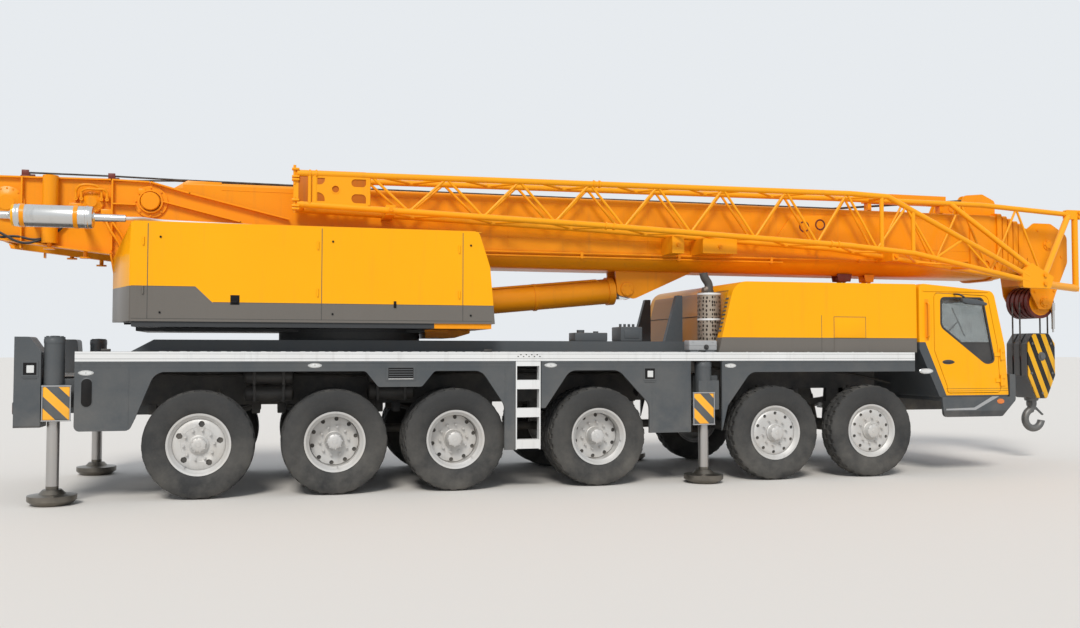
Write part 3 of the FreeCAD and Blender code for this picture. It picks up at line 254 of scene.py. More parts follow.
# every painted, cast or moulded finish: colour, roughness, metal, coat, specular shine, dust, grime,
# variation, chips, and the bump's scale and depth
finishes = {
    "yellowPaint": {"color": (0.93, 0.405, 0.003), "rough": 0.3, "coat": 0.06, "shine": 0.15, "dust": 0.12,
                    "grime": 0.1, "vary": 0.1, "chips": 0.25, "bump": (34, 0.05)},
    "boomPaint": {"color": (0.86, 0.305, 0.004), "rough": 0.34, "coat": 0.05, "shine": 0.2, "dust": 0.13,
                  "grime": 0.16, "vary": 0.14, "chips": 0.35, "bump": (30, 0.06)},
    "jibPaint": {"color": (0.89, 0.36, 0.006), "rough": 0.36, "coat": 0.05, "shine": 0.2, "dust": 0.12,
                 "grime": 0.12, "vary": 0.14, "chips": 0.5, "bump": (40, 0.08)},
    # darker orange of the jib's back plate: painted shade of the boom seen through the openings
    "jibShade": {"color": (0.5, 0.13, 0.004), "rough": 0.5, "shine": 0.2, "dust": 0.12, "grime": 0.2,
                 "vary": 0.2, "chips": 0.2, "bump": (40, 0.08)},
    "slatePaint": {"color": (0.066, 0.075, 0.083), "rough": 0.45, "coat": 0.03, "shine": 0.35, "dust": 0.22,
                   "grime": 0.12, "vary": 0.2, "chips": 0.3, "bump": (36, 0.08)},
    "framePaint": {"color": (0.045, 0.048, 0.052), "rough": 0.62, "coat": 0.0, "dust": 0.5, "grime": 0.3,
                   "vary": 0.3, "chips": 0.3, "bump": (60, 0.25)},
    "stepMetal": {"color": (0.72, 0.73, 0.73), "rough": 0.5, "metal": 0.1, "dust": 0.2, "grime": 0.2,
                  "vary": 0.2, "chips": 0.3, "bump": (50, 0.12)},
    "wheelSilver": {"color": (0.56, 0.56, 0.555), "rough": 0.42, "metal": 0.35, "dust": 0.45, "grime": 0.25,
                    "vary": 0.2, "chips": 0.5, "bump": (80, 0.12)},
    "jackChrome": {"color": (0.45, 0.44, 0.43), "rough": 0.28, "metal": 0.85, "dust": 0.35, "grime": 0.3,
                   "vary": 0.2, "chips": 0.2, "bump": (90, 0.05)},
    "rodChrome": {"color": (0.72, 0.73, 0.74), "rough": 0.12, "metal": 1.0, "dust": 0.05, "grime": 0.1,
                  "vary": 0.1, "chips": 0.0, "bump": (90, 0.02)},
    "footSteel": {"color": (0.1, 0.095, 0.085), "rough": 0.66, "metal": 0.2, "dust": 0.7, "grime": 0.3,
                  "vary": 0.3, "chips": 0.5, "bump": (70, 0.3)},
    "sheaveRed": {"color": (0.13, 0.016, 0.01), "rough": 0.45, "metal": 0.1, "dust": 0.2, "grime": 0.35,
                  "vary": 0.2, "chips": 0.4, "bump": (60, 0.1)},
    "blackPlastic": {"color": (0.022, 0.023, 0.025), "rough": 0.5, "dust": 0.3, "grime": 0.1, "vary": 0.2,
                     "chips": 0.0, "bump": (220, 0.12)},
    "shadowBlack": {"color": (0.006, 0.006, 0.007), "rough": 0.7, "shine": 0.2, "dust": 0.04, "grime": 0.0,
                    "vary": 0.1, "chips": 0.0, "bump": (150, 0.1)},
    "hoseRubber": {"color": (0.018, 0.018, 0.018), "rough": 0.6, "dust": 0.35, "grime": 0.1, "vary": 0.2,
                   "chips": 0.0, "bump": (160, 0.2)},
    "castIron": {"color": (0.075, 0.072, 0.068), "rough": 0.65, "metal": 0.3, "dust": 0.5, "grime": 0.4,
                 "vary": 0.3, "chips": 0.4, "bump": (120, 0.35)},
    "aluminium": {"color": (0.66, 0.66, 0.65), "rough": 0.25, "metal": 0.95, "dust": 0.15, "grime": 0.25,
                  "vary": 0.2, "chips": 0.0, "bump": (70, 0.08)},
    "heatedSteel": {"color": (0.2, 0.165, 0.14), "rough": 0.55, "metal": 0.7, "dust": 0.2, "grime": 0.5,
                    "vary": 0.4, "chips": 0.6, "bump": (80, 0.2)},
    "hookSteel": {"color": (0.13, 0.135, 0.14), "rough": 0.45, "metal": 0.6, "dust": 0.2, "grime": 0.4,
                  "vary": 0.3, "chips": 0.5, "bump": (60, 0.2)},
    "dashPlastic": {"color": (0.05, 0.052, 0.056), "rough": 0.6, "dust": 0.25, "grime": 0.0, "vary": 0.1,
                    "chips": 0.0, "bump": (260, 0.2)},
    "greyBox": {"color": (0.33, 0.34, 0.35), "rough": 0.5, "dust": 0.3, "grime": 0.2, "vary": 0.1,
                "chips": 0.3, "bump": (60, 0.1)},
}
finish = {}


def makeFinish(name, recipe):
    # gives back the socket that takes the colour, for finishes whose colour changes over the surface
    material, tree, shader = newMaterial(name)
    rgb = recipe["color"] + (1,)
    scratch = addNode(tree, "Group", {"node_tree": chips}, {"Color": rgb, "Amount": recipe["chips"]})
    dirt = addNode(tree, "Group", {"node_tree": weathering}, {
        "Dust": recipe["dust"], "Grime": recipe["grime"], "Variation": recipe["vary"],
        "Roughness": recipe["rough"],
    })
    paint = dirt.inputs["Color"]
    if recipe["chips"] > 0:
        tree.links.new(scratch.outputs["Color"], paint)
        paint = scratch.inputs["Color"]
    else:
        paint.default_value = rgb
    tree.links.new(dirt.outputs["Color"], shader.inputs["Base Color"])
    tree.links.new(dirt.outputs["Roughness"], shader.inputs["Roughness"])
    shader.inputs["Metallic"].default_value = recipe.get("metal", 0.0)
    shader.inputs["Coat Weight"].default_value = recipe.get("coat", 0.0)
    shader.inputs["Coat Roughness"].default_value = 0.12
    shader.inputs["Specular IOR Level"].default_value = recipe.get("shine", 0.5)
    scale, depth = recipe["bump"]
    addBump(tree, shader, noiseOf(tree, placeOf(tree), scale, 3), depth, 0.004)
    finish[name] = material
    return tree, shader, paint


for name, recipe in finishes.items():
    makeFinish(name, recipe)
print("finishes ready:", len(finish))


# mesh helpers
def newBm():
    return bmesh.new()


def vertsIn(geom):
    return [g for g in geom if isinstance(g, bmesh.types.BMVert)]


def softenEdges(bm, edges, offset, segments=2):
    bmesh.ops.bevel(bm, geom=list(edges), offset=offset, offset_type="OFFSET", affect="EDGES",
                    segments=segments, profile=0.5, material=-1)


def addBox(bm, low, high, bevel=0.0, segments=2):
    made = bmesh.ops.create_cube(bm, size=1)["verts"]
    size = [b - a for a, b in zip(low, high)]
    middle = [(a + b) / 2 for a, b in zip(low, high)]
    bmesh.ops.scale(bm, vec=size, verts=made)
    bmesh.ops.translate(bm, vec=middle, verts=made)
    if bevel:
        softenEdges(bm, {e for v in made for e in v.link_edges}, bevel, segments)
    return made


def addRod(bm, start, end, radius, segments=16, endRadius=None):
    a, b = Vector(start), Vector(end)
    made = bmesh.ops.create_cone(bm, cap_ends=True, segments=segments, radius1=radius,
                                 radius2=endRadius or radius, depth=(b - a).length)["verts"]
    turn = (b - a).to_track_quat("Z", "Y").to_matrix().to_4x4()
    bmesh.ops.transform(bm, matrix=Matrix.Translation((a + b) / 2) @ turn, verts=made)
    return made


def addPlate(bm, points, low, high, plane="xz", bevel=0.0):
    # a flat outline pushed through the third axis
    spot = {"xz": lambda a, b: (a, low, b), "yz": lambda a, b: (low, a, b),
            "xy": lambda a, b: (a, b, low)}[plane]
    push = {"xz": (0, high - low, 0), "yz": (high - low, 0, 0), "xy": (0, 0, high - low)}[plane]
    verts = [bm.verts.new(spot(a, b)) for a, b in points]
    face = bm.faces.new(verts)
    grown = bmesh.ops.extrude_face_region(bm, geom=[face])["geom"]
    top = vertsIn(grown)
    bmesh.ops.translate(bm, vec=push, verts=top)
    faces = {f for v in verts + top for f in v.link_faces}
    bmesh.ops.recalc_face_normals(bm, faces=list(faces))
    if bevel:
        softenEdges(bm, {e for v in verts + top for e in v.link_edges}, bevel)


def addTurned(bm, profile, middle, axis="Y", steps=48, index=0):
    # profile of (along the axis, radius) points spun about the axis through middle
    along = {"X": Vector((1, 0, 0)), "Y": Vector((0, 1, 0)), "Z": Vector((0, 0, 1))}[axis]
    out = {"X": Vector((0, 0, 1)), "Y": Vector((0, 0, 1)), "Z": Vector((1, 0, 0))}[axis]
    centre = Vector(middle)
    verts = [bm.verts.new(centre + along * a + out * r) for a, r in profile]
    edges = [bm.edges.new(pair) for pair in zip(verts, verts[1:])]
    if profile[0][1] > 0 and profile[-1][1] > 0 and profile[0] != profile[-1]:
        edges.append(bm.edges.new((verts[-1], verts[0])))  # a ring is closed on its inner side
    before = set(bm.faces)
    bmesh.ops.spin(bm, geom=verts + edges, cent=centre, axis=along, angle=math.tau, steps=steps,
                   use_merge=True, use_duplicate=False)
    faces = [f for f in bm.faces if f not in before]
    bmesh.ops.remove_doubles(bm, verts=list({v for f in faces for v in f.verts}), dist=0.00002)
    faces = [f for f in bm.faces if f not in before]
    bmesh.ops.recalc_face_normals(bm, faces=faces)
    for face in faces:
        face.material_index = index
    return faces


def addCopies(bm, verts, matrices):
    # copies of a loose part of the mesh at other places
    geom = list(verts) + list({e for v in verts for e in v.link_edges})
    geom += list({f for v in verts for f in v.link_faces})
    for matrix in matrices:
        made = bmesh.ops.duplicate(bm, geom=geom)["geom"]
        bmesh.ops.transform(bm, matrix=matrix, verts=vertsIn(made))


def aroundAxis(middle, axis, count):
    # the other places of a ring of parts
    centre = Matrix.Translation(Vector(middle))
    return [centre @ Matrix.Rotation(i * math.tau / count, 4, axis) @ centre.inverted()
            for i in range(1, count)]


def flipY(bm):
    # the same thing on the left side as well
    geom = list(bm.verts) + list(bm.edges) + list(bm.faces)
    made = bmesh.ops.duplicate(bm, geom=geom)["geom"]
    bmesh.ops.scale(bm, vec=(1, -1, 1), verts=vertsIn(made))
    bmesh.ops.reverse_faces(bm, faces=[g for g in made if isinstance(g, bmesh.types.BMFace)])


def turnOver(bm):
    # the same thing on the left side instead of the right
    bmesh.ops.scale(bm, vec=(1, -1, 1), verts=bm.verts)
    bmesh.ops.reverse_faces(bm, faces=bm.faces)


def shadeByAngle(mesh, limit=35):
    for polygon in mesh.polygons:
        polygon.use_smooth = True
    bm = bmesh.new()
    bm.from_mesh(mesh)
    for edge in bm.edges:
        edge.smooth = len(edge.link_faces) == 2 and edge.calc_face_angle(0) < math.radians(limit)
    bm.to_mesh(mesh)
    bm.free()


def addPiece(name, bm, body, materials, replaces=(), limit=35):
    mesh = bpy.data.meshes.new(name)
    bmesh.ops.dissolve_degenerate(bm, dist=0.00001, edges=bm.edges)
    bm.to_mesh(mesh)
    bm.free()
    for label in [materials] if isinstance(materials, str) else materials:
        mesh.materials.append(finish[label])
    shadeByAngle(mesh, limit)
    piece = bpy.data.objects.new(name, mesh)
    scene.collection.objects.link(piece)
    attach(piece, body)
    if replaces:
        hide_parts(*replaces)
    return piece


def addLine(name, runs, radius, body, material, smooth=True, sides=3):
    # round pipes, hoses, ropes and handles that follow points
    curve = bpy.data.curves.new(name, "CURVE")
    curve.dimensions = "3D"
    curve.bevel_depth = radius
    curve.bevel_resolution = sides
    curve.use_fill_caps = True
    curve.resolution_u = 6
    for points in runs:
        spline = curve.splines.new("NURBS" if smooth else "POLY")
        spline.points.add(len(points) - 1)
        for spot, point in zip(spline.points, points):
            spot.co = tuple(point) + (1,)
        if smooth:
            spline.order_u = 3
            spline.use_endpoint_u = True
    curve.materials.append(finish[material])
    piece = bpy.data.objects.new(name, curve)
    scene.collection.objects.link(piece)
    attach(piece, body)
    return piece


# zones of other colours on the CAD nodes: a zone is a list of (a, b, c, limit), true where
# ax + by + cz is below every limit
def maskOf(tree, place, zone):
    total = None
    for a, b, c, limit in zone:
        dot = addNode(tree, "VectorMath", {"operation": "DOT_PRODUCT"}, {1: (a, b, c)})
        tree.links.new(place, dot.inputs[0])
        part = doMath(tree, "LESS_THAN", dot.outputs["Value"], limit)
        total = part if total is None else doMath(tree, "MULTIPLY", total, part)
    return total


def stripesOf(tree, place, slope, width, start=0.0):
    # diagonal bands: 1 on every second band, the first one from start
    dot = addNode(tree, "VectorMath", {"operation": "DOT_PRODUCT"}, {1: slope})
    tree.links.new(place, dot.inputs[0])
    along = doMath(tree, "DIVIDE", doMath(tree, "SUBTRACT", dot.outputs["Value"], start), width)
    return doMath(tree, "LESS_THAN", doMath(tree, "FRACT", along), 0.5)


def makeZoned(name, base, zones):
    # a copy of a finish whose colour changes over named zones, before chips and dust
    tree, _, paint = makeFinish(name, finishes[base])
    place = placeOf(tree)
    colour = finishes[base]["color"] + (1,)
    for rgb, zone in zones:
        colour = mixColour(tree, maskOf(tree, place, zone), colour, rgb + (1,))
    tree.links.new(colour, paint)


bandGrey = (0.15, 0.138, 0.124)
seamDark = (0.028, 0.024, 0.02)
slate = finishes["slatePaint"]["color"]
makeZoned("hoodPaint", "yellowPaint", [
    (bandGrey, [(0, 0, 1, 1.85)]),
    # the hood's rear face is painted dark orange-brown: painted shade, the face lying in the boom's shadow
    ((0.4, 0.155, 0.004), [(1, 0, -0.2534, 0.762), (0, 1, 0, 1.31), (0, -1, 0, 1.31), (0, 0, 1, 2.47)]),
])
makeZoned("coverPaint", "yellowPaint", [
    (bandGrey, [(0, 0, 1, 2.22)]), (bandGrey, [(0, 0, 1, 2.395), (1, 0, 1.03, -2.754)]),
])
makeZoned("deckPaint", "stepMetal", [
    ((0.3, 0.31, 0.31), [(0, 0, 1, 1.583), (0, 0, -1, -1.577)]),
    ((0.34, 0.35, 0.35), [(0, 0, 1, 1.637), (0, 0, -1, -1.632)]),
    (slate, [(0, 1, 0, 1.4985), (0, -1, 0, 1.4985)]), (slate, [(0, 0, 1, 1.5515)]),
])
# below the cover's edge the bed takes the frame's near-black colour: painted shade under the cover
makeZoned("bedPaint", "boomPaint", [(finishes["framePaint"]["color"], [(0, 0, 1, 2.006), (1, 0, 0, -2.5)])])
makeZoned("cabPaint", "yellowPaint", [
    (slate, [(0, 0, 1, 1.075)]),
    (slate, [(1.0, 0, 0.444, 5.0), (0, 0, 1, 1.8)]),
    (seamDark, [(0, 0, 1, 1.1675), (0, 0, -1, -1.1625), (-1, 0, 0, -4.52)]),
    (seamDark, [(0, 0, 1, 1.1355), (0, 0, -1, -1.131), (-1, 0, 0, -4.53)]),
])
makeZoned("bumperPaint", "slatePaint", [(finishes["framePaint"]["color"], [(0, 0, 1, 0.86)])])
makeZoned("jackPaint", "jackChrome", [(finishes["footSteel"]["color"], [(0, 0, 1, 0.2)])])


def makeStriped(name, base, slope, width, colours, low, high, start=0.0):
    # warning stripes between two heights
    tree, _, paint = makeFinish(name, finishes[base])
    place = placeOf(tree)
    stripe = mixColour(tree, stripesOf(tree, place, slope, width, start), colours[0] + (1,),
                       colours[1] + (1,))
    inside = maskOf(tree, place, [(0, 0, 1, high), (0, 0, -1, -low)])
    colour = mixColour(tree, inside, finishes[base]["color"] + (1,), stripe)
    tree.links.new(colour, paint)


def makeGlass():
    material, tree, shader = newMaterial("cabGlass")
    shader.inputs["Transmission Weight"].default_value = 0.9
    shader.inputs["IOR"].default_value = 1.45
    place = placeOf(tree)
    film = rampOf(tree, noiseOf(tree, place, 5, 5, 0.6), 0.35, 0.8)
    colour = mixColour(tree, film, (0.6, 0.63, 0.62, 1), (0.5, 0.51, 0.5, 1))
    tree.links.new(colour, shader.inputs["Base Color"])
    tree.links.new(doMath(tree, "ADD", doMath(tree, "MULTIPLY", film, 0.1), 0.02), shader.inputs["Roughness"])
    addBump(tree, shader, noiseOf(tree, place, 3, 2), 0.02, 0.01)
    finish["cabGlass"] = material


makeGlass()

# finishes of the CAD nodes that stay
nodeFinish = {
    "chassis_frame": "framePaint", "deck": "deckPaint", "side_skirts": "slatePaint",
    "access_ladders": "stepMetal",
    "axles": "framePaint", "outrigger_boxes": "framePaint", "bumpers": "bumperPaint", "cab_shell": "cabPaint",
    "cab_door_left": "cabPaint", "cab_door_right": "cabPaint", "cab_interior": "dashPlastic",
    "engine_block": "castIron", "engine_hood": "hoodPaint", "exhaust_stack": "heatedSteel",
    "boom_rest": "slatePaint", "slewing_ring": "framePaint", "turntable": "bedPaint",
    "operator_cab": "coverPaint", "operator_door": "coverPaint",
    "operator_seat": "dashPlastic", "winches": "castIron", "boom_base": "boomPaint",
    "lattice_jib": "jibPaint",
    "luff_cylinder_barrel": "boomPaint", "luff_cylinder_rod": "rodChrome", "hook_block": "hookSteel",
    "windscreen": "cabGlass", "door_glass_left": "cabGlass", "door_glass_right": "cabGlass",
    "operator_door_glass": "cabGlass", "machinery_cover": "coverPaint",
}
for number in range(2, 7):
    nodeFinish["boom_section_%d" % number] = "boomPaint"
for end in ("front", "rear"):
    for side in ("left", "right"):
        nodeFinish["outrigger_beam_%s_%s" % (end, side)] = "slatePaint"
        nodeFinish["jack_%s_%s" % (end, side)] = "jackPaint"
for number in (1, 2):
    for side in ("left", "right"):
        nodeFinish["knuckle_%d_%s" % (number, side)] = "castIron"
for name, label in nodeFinish.items():
    for plug in nodes[name].material_slots:
        plug.material = finish[label]
print("nodes finished:", len(nodeFinish))


# wheels: tread, side wall, rim, disc, nuts and hub
wheelSize = {
    "radius": 0.613, "width": 0.315, "outer": 1.45, "pitch": 0.345, "bead": 0.325, "rim": 0.115, "rings": 60,
    "groove": 0.014, "lugsFrom": 0.595, "shoulder": 0.062, "middleRib": 0.04, "lugDeep": 0.011,
    "lugEdge": 0.005,
    "axles": (3.4, 1.98, -0.44, -2.24, -3.66, -5.165), "nuts": 10, "nutCircle": 0.167,
}
# disc kinds: level of the disc from the tyre's middle, hand holes, their circle and radius, hub cap length
discKinds = {
    "outset": {"level": 0.07, "holes": 10, "circle": 0.252, "hole": 0.023, "hub": 0.115, "hubRadius": 0.118},
    "oval": {"level": 0.06, "holes": 5, "circle": 0.232, "hole": 0.036, "hub": 0.09, "hubRadius": 0.108},
    "deep": {"level": -0.09, "holes": 10, "circle": 0.257, "hole": 0.026, "hub": 0.175, "hubRadius": 0.115},
}


def makeTyreMaterial():
    material, tree, shader = newMaterial("tyreRubber")
    place = placeOf(tree)
    dirt = addNode(tree, "Group", {"node_tree": weathering}, {
        "Color": (0.03, 0.031, 0.032, 1), "Dust Color": (0.24, 0.225, 0.2, 1), "Dust": 0.55, "Grime": 0.1,
        "Variation": 0.35, "Low": 0.0, "High": 1.25, "Roughness": 0.72,
    })
    tree.links.new(dirt.outputs["Color"], shader.inputs["Base Color"])
    tree.links.new(dirt.outputs["Roughness"], shader.inputs["Roughness"])
    shader.inputs["Specular IOR Level"].default_value = 0.3
    height = doMath(tree, "ADD", noiseOf(tree, place, 120, 4),
                    doMath(tree, "MULTIPLY", noiseOf(tree, place, 14, 3), 0.6))
    addBump(tree, shader, height, 0.35, 0.003)
    finish["tyreRubber"] = material


def addTyre(bm, x, middle):
    w, r, bead = wheelSize["width"] / 2, wheelSize["radius"], wheelSize["bead"]
    wall = [
        (-0.112, bead), (-0.118, 0.352), (-0.136, 0.372), (-0.15, 0.41), (-w, 0.455), (-w + 0.0015, 0.47),
        (-w, 0.484),
        (-0.154, 0.53), (-0.148, 0.562), (-0.1455, 0.566), (-0.142, 0.58), (-0.13, 0.596),
    ]
    crown = [(-0.118, r - 0.006), (-0.062, r - 0.001), (-0.056, r - 0.001), (-0.052, r - wheelSize["groove"]),
             (-0.044, r - wheelSize["groove"]), (-0.04, r), (-0.004, r)]
    half = wall + crown
    profile = half + [(-a, b) for a, b in reversed(half)]
    faces = addTurned(bm, profile, (x, middle, r), steps=wheelSize["rings"])
    # lugs cut across the shoulders and the ribs beside the grooves
    centre = Vector((x, 0, r))
    pitch = math.tau / wheelSize["rings"]
    outer = []
    for face in faces:
        spot = face.calc_center_median()
        reach = (Vector((spot.x, 0, spot.z)) - centre).length
        across = abs(spot.y - middle)
        angle = math.atan2(spot.z - r, spot.x - x) % (2 * pitch)
        shift = pitch if across < 0.05 else 0
        lugged = across > wheelSize["shoulder"] or across < wheelSize["middleRib"]
        if reach > wheelSize["lugsFrom"] and lugged and (angle + shift) % (2 * pitch) < pitch:
            outer.append(face)
    bmesh.ops.inset_region(bm, faces=outer, thickness=wheelSize["lugEdge"], use_even_offset=True)
    for vert in {v for f in outer for v in f.verts}:
        out = Vector((vert.co.x - x, 0, vert.co.z - r))
        vert.co -= out.normalized() * wheelSize["lugDeep"]


def addDisc(bm, x, middle, kind):
    # everything is made on the left and turned to the other side at the end
    r, seat, half, rings = (wheelSize[key] for key in ("radius", "bead", "rim", "rings"))
    level = middle + kind["level"]
    lip = [
        (middle - half - 0.014, 0.352), (middle - half - 0.002, 0.352), (middle - half + 0.004, seat - 0.004),
        (middle + half - 0.004, seat - 0.004), (middle + half + 0.002, 0.352), (middle + half + 0.014, 0.352),
        (middle + half + 0.01, seat + 0.004), (middle + half - 0.02, seat - 0.022),
        (middle + half - 0.03, seat - 0.034),
        (middle - half + 0.03, seat - 0.034), (middle - half + 0.02, seat - 0.022),
        (middle - half - 0.014, 0.352),
    ]
    addTurned(bm, lip, (x, 0, r), steps=rings)
    inner, eye, circle = seat - 0.033, kind["hole"], kind["circle"]
    face = [
        (level - 0.01, inner), (level + 0.012, inner - 0.004), (level + 0.022, circle + eye),
        (level + 0.024, circle),
        (level + 0.025, circle - eye), (level + 0.022, min(0.2, circle - eye - 0.004)),
        (level + 0.02, kind["hubRadius"]),
        (level + 0.006, kind["hubRadius"]), (level + 0.004, 0.215), (level + 0.002, 0.262),
        (level - 0.012, inner - 0.01),
        (level - 0.01, inner),
    ]
    made = addTurned(bm, face, (x, 0, r), steps=rings)
    # hand holes: two columns of faces for each are drawn to a round outline and pushed in; their floors take
    # the black slot as painted shade standing in for the open holes
    pitch, turn = rings // kind["holes"], 360 // rings
    chosen = {}
    for item in made:
        spot = item.calc_center_median()
        away = math.hypot(spot.x - x, spot.z - r)
        column = int(math.degrees(math.atan2(spot.z - r, spot.x - x)) % 360 // turn)
        if circle - eye < away < circle + eye and spot.y > level + 0.015 and column % pitch < 2:
            chosen.setdefault(column // pitch, []).append(item)
    for group, items in chosen.items():
        angle = math.radians(turn * (group * pitch + 1))
        centre = Vector((x + circle * math.cos(angle), 0, r + circle * math.sin(angle)))
        grown = bmesh.ops.extrude_face_region(bm, geom=items)["geom"]
        pushed = vertsIn(grown)
        paintedHoleShade = [g for g in grown if isinstance(g, bmesh.types.BMFace)]
        bmesh.ops.delete(bm, geom=items, context="FACES_ONLY")
        sideFaces = {f for v in pushed for f in v.link_faces}
        rimVerts = {v for f in sideFaces for v in f.verts} - set(pushed)
        for vert in list(rimVerts) + pushed:
            away = Vector((vert.co.x, 0, vert.co.z)) - centre
            if away.length > eye * 0.3:
                spot = centre + away.normalized() * eye
                vert.co.x, vert.co.z = spot.x, spot.z
        for vert in pushed:
            vert.co.y -= 0.016
        # black hole floors: painted shade where the real holes go through
        for item in paintedHoleShade:
            item.material_index = 1


def addHub(bm, x, middle, kind):
    r, wide, level = wheelSize["radius"], kind["hubRadius"], middle + kind["level"]
    far = level + kind["hub"]
    at = x + wheelSize["nutCircle"]
    addTurned(bm, [
        (level - 0.05, 0.0), (level - 0.05, wide), (level + 0.045, wide), (level + 0.05, wide - 0.008),
        (far - 0.03, wide - 0.022),
        (far - 0.008, wide - 0.032), (far, wide - 0.048), (far, 0.03), (far + 0.004, 0.026),
        (far + 0.004, 0.0),
    ], (x, 0, r), steps=40)
    nut = addRod(bm, (at, level + 0.018, r), (at, level + 0.046, r), 0.017, 6)
    stud = addRod(bm, (at, level + 0.04, r), (at, level + 0.066, r), 0.01, 8)
    addCopies(bm, nut + stud, aroundAxis((x, 0, r), "Y", wheelSize["nuts"]))
    bolt = addRod(bm, (x + wide - 0.03, far - 0.012, r), (x + wide - 0.03, far + 0.004, r), 0.008, 6)
    addCopies(bm, bolt, aroundAxis((x, 0, r), "Y", 8))


def makeWheel(number, side):
    x, r = wheelSize["axles"][number - 1], wheelSize["radius"]
    end = "%d_%s" % (number, "left" if side > 0 else "right")
    twin = number in (3, 4, 5)
    outer = wheelSize["outer"] - wheelSize["width"] / 2
    inner = outer - wheelSize["pitch"]
    kind = discKinds["deep" if twin else "oval" if number == 6 else "outset"]
    tyres, rim = newBm(), newBm()
    for middle in (outer, inner) if twin else (outer,):
        addTyre(tyres, x, middle)
        addDisc(rim, x, middle, kind)
    addHub(rim, x, outer, kind)
    if twin:
        spacer = [(inner - 0.05, 0.1), (inner - 0.05, 0.205), (outer - 0.12, 0.205), (outer - 0.12, 0.1)]
        addTurned(rim, spacer, (x, 0, r), steps=32)
    addRod(rim, (x, outer + 0.08, r + 0.285), (x, outer + 0.125, r + 0.295), 0.006, 8)  # valve
    for bm in (tyres, rim):
        bmesh.ops.rotate(bm, cent=(x, 0, r), verts=bm.verts,
                         matrix=Matrix.Rotation(math.radians(number * 37 + side * 11), 3, "Y"))
        if side < 0:
            turnOver(bm)
    addPiece("tyre_" + end, tyres, "wheel_" + end, "tyreRubber", ("wheel_" + end,), limit=25)
    addPiece("rim_" + end, rim, "wheel_" + end, ("wheelSilver", "blackPlastic"))


makeTyreMaterial()
for number in range(1, 7):
    for side in (1, -1):
        makeWheel(number, side)
print("wheels made")


# carrier details
bandColours = ((0.93, 0.42, 0.01), slate)
makeStriped("chevronRear", "slatePaint", (1, 0, 1.0), 0.255, bandColours, 0.0, 3.0, -5.454)
makeStriped("chevronFront", "slatePaint", (1, 0, 1.0), 0.255, bandColours, 0.0, 3.0, 2.014)


def makeGlow(name, colour, rough, scale):
    # lamp lenses: a ribbed clear or coloured cover
    material, tree, shader = newMaterial(name)
    place = placeOf(tree)
    ribs = addNode(tree, "TexWave", {"wave_type": "BANDS", "bands_direction": "X"},
                   {"Scale": scale, "Distortion": 0.4})
    tree.links.new(place, ribs.inputs["Vector"])
    darker = tuple(c * 0.62 for c in colour)
    tree.links.new(mixColour(tree, ribs.outputs["Fac"], darker + (1,), colour + (1,)),
                   shader.inputs["Base Color"])
    shader.inputs["Roughness"].default_value = rough
    shader.inputs["Coat Weight"].default_value = 0.8
    addBump(tree, shader, ribs.outputs["Fac"], 0.3, 0.002)
    finish[name] = material


makeGlow("clearLens", (0.8, 0.81, 0.8), 0.18, 42)
makeGlow("amberLens", (0.85, 0.22, 0.02), 0.2, 60)
makeGlow("redLens", (0.45, 0.012, 0.01), 0.2, 60)

skirtBits = {
    "face": 1.5, "proud": 0.004, "markers": ((-6.335, 1.427), (-3.899, 1.502), (-1.082, 1.5), (1.31, 1.488)),
    "markerSize": (0.086, 0.033), "lamps": ((-6.893, 1.474), (0.206, 1.39)), "lampSize": 0.088,
    "slot": (-6.325, 1.05, 1.37, 0.062), "vent": (-3.087, -2.734, 1.319, 1.498), "fold": 1.545,
    "boltRow": 1.512, "boltRows": ((-6.4, 0.41, 12), (1.26, 0.54, 6), (-1.14, 0.45, 5)),
}


def addOval(bm, x, z, wide, high, y, deep, index=0, segments=24, stretch=0.0):
    # a flat oval button on the right side; stretch pulls its upper half up into a slot shape
    made = bmesh.ops.create_cone(bm, cap_ends=True, segments=segments, radius1=1, radius2=0.86,
            depth=deep)["verts"]
    bmesh.ops.rotate(bm, cent=(0, 0, 0), matrix=Matrix.Rotation(math.radians(90), 3, "X"), verts=made)
    bmesh.ops.scale(bm, vec=(wide, 1, high), verts=made)
    bmesh.ops.translate(bm, vec=(0, 0, stretch), verts=[v for v in made if v.co.z > 1e-5])
    bmesh.ops.translate(bm, vec=(x, -y + deep / 2, z), verts=made)
    for face in {f for v in made for f in v.link_faces}:
        face.material_index = index
    return made


def addTinted(bm, index, low, high, bevel=0.0, segments=1):
    # a box whose faces all take one material
    before = set(bm.faces)
    addBox(bm, low, high, bevel, segments)
    for face in bm.faces:
        if face not in before:
            face.material_index = index


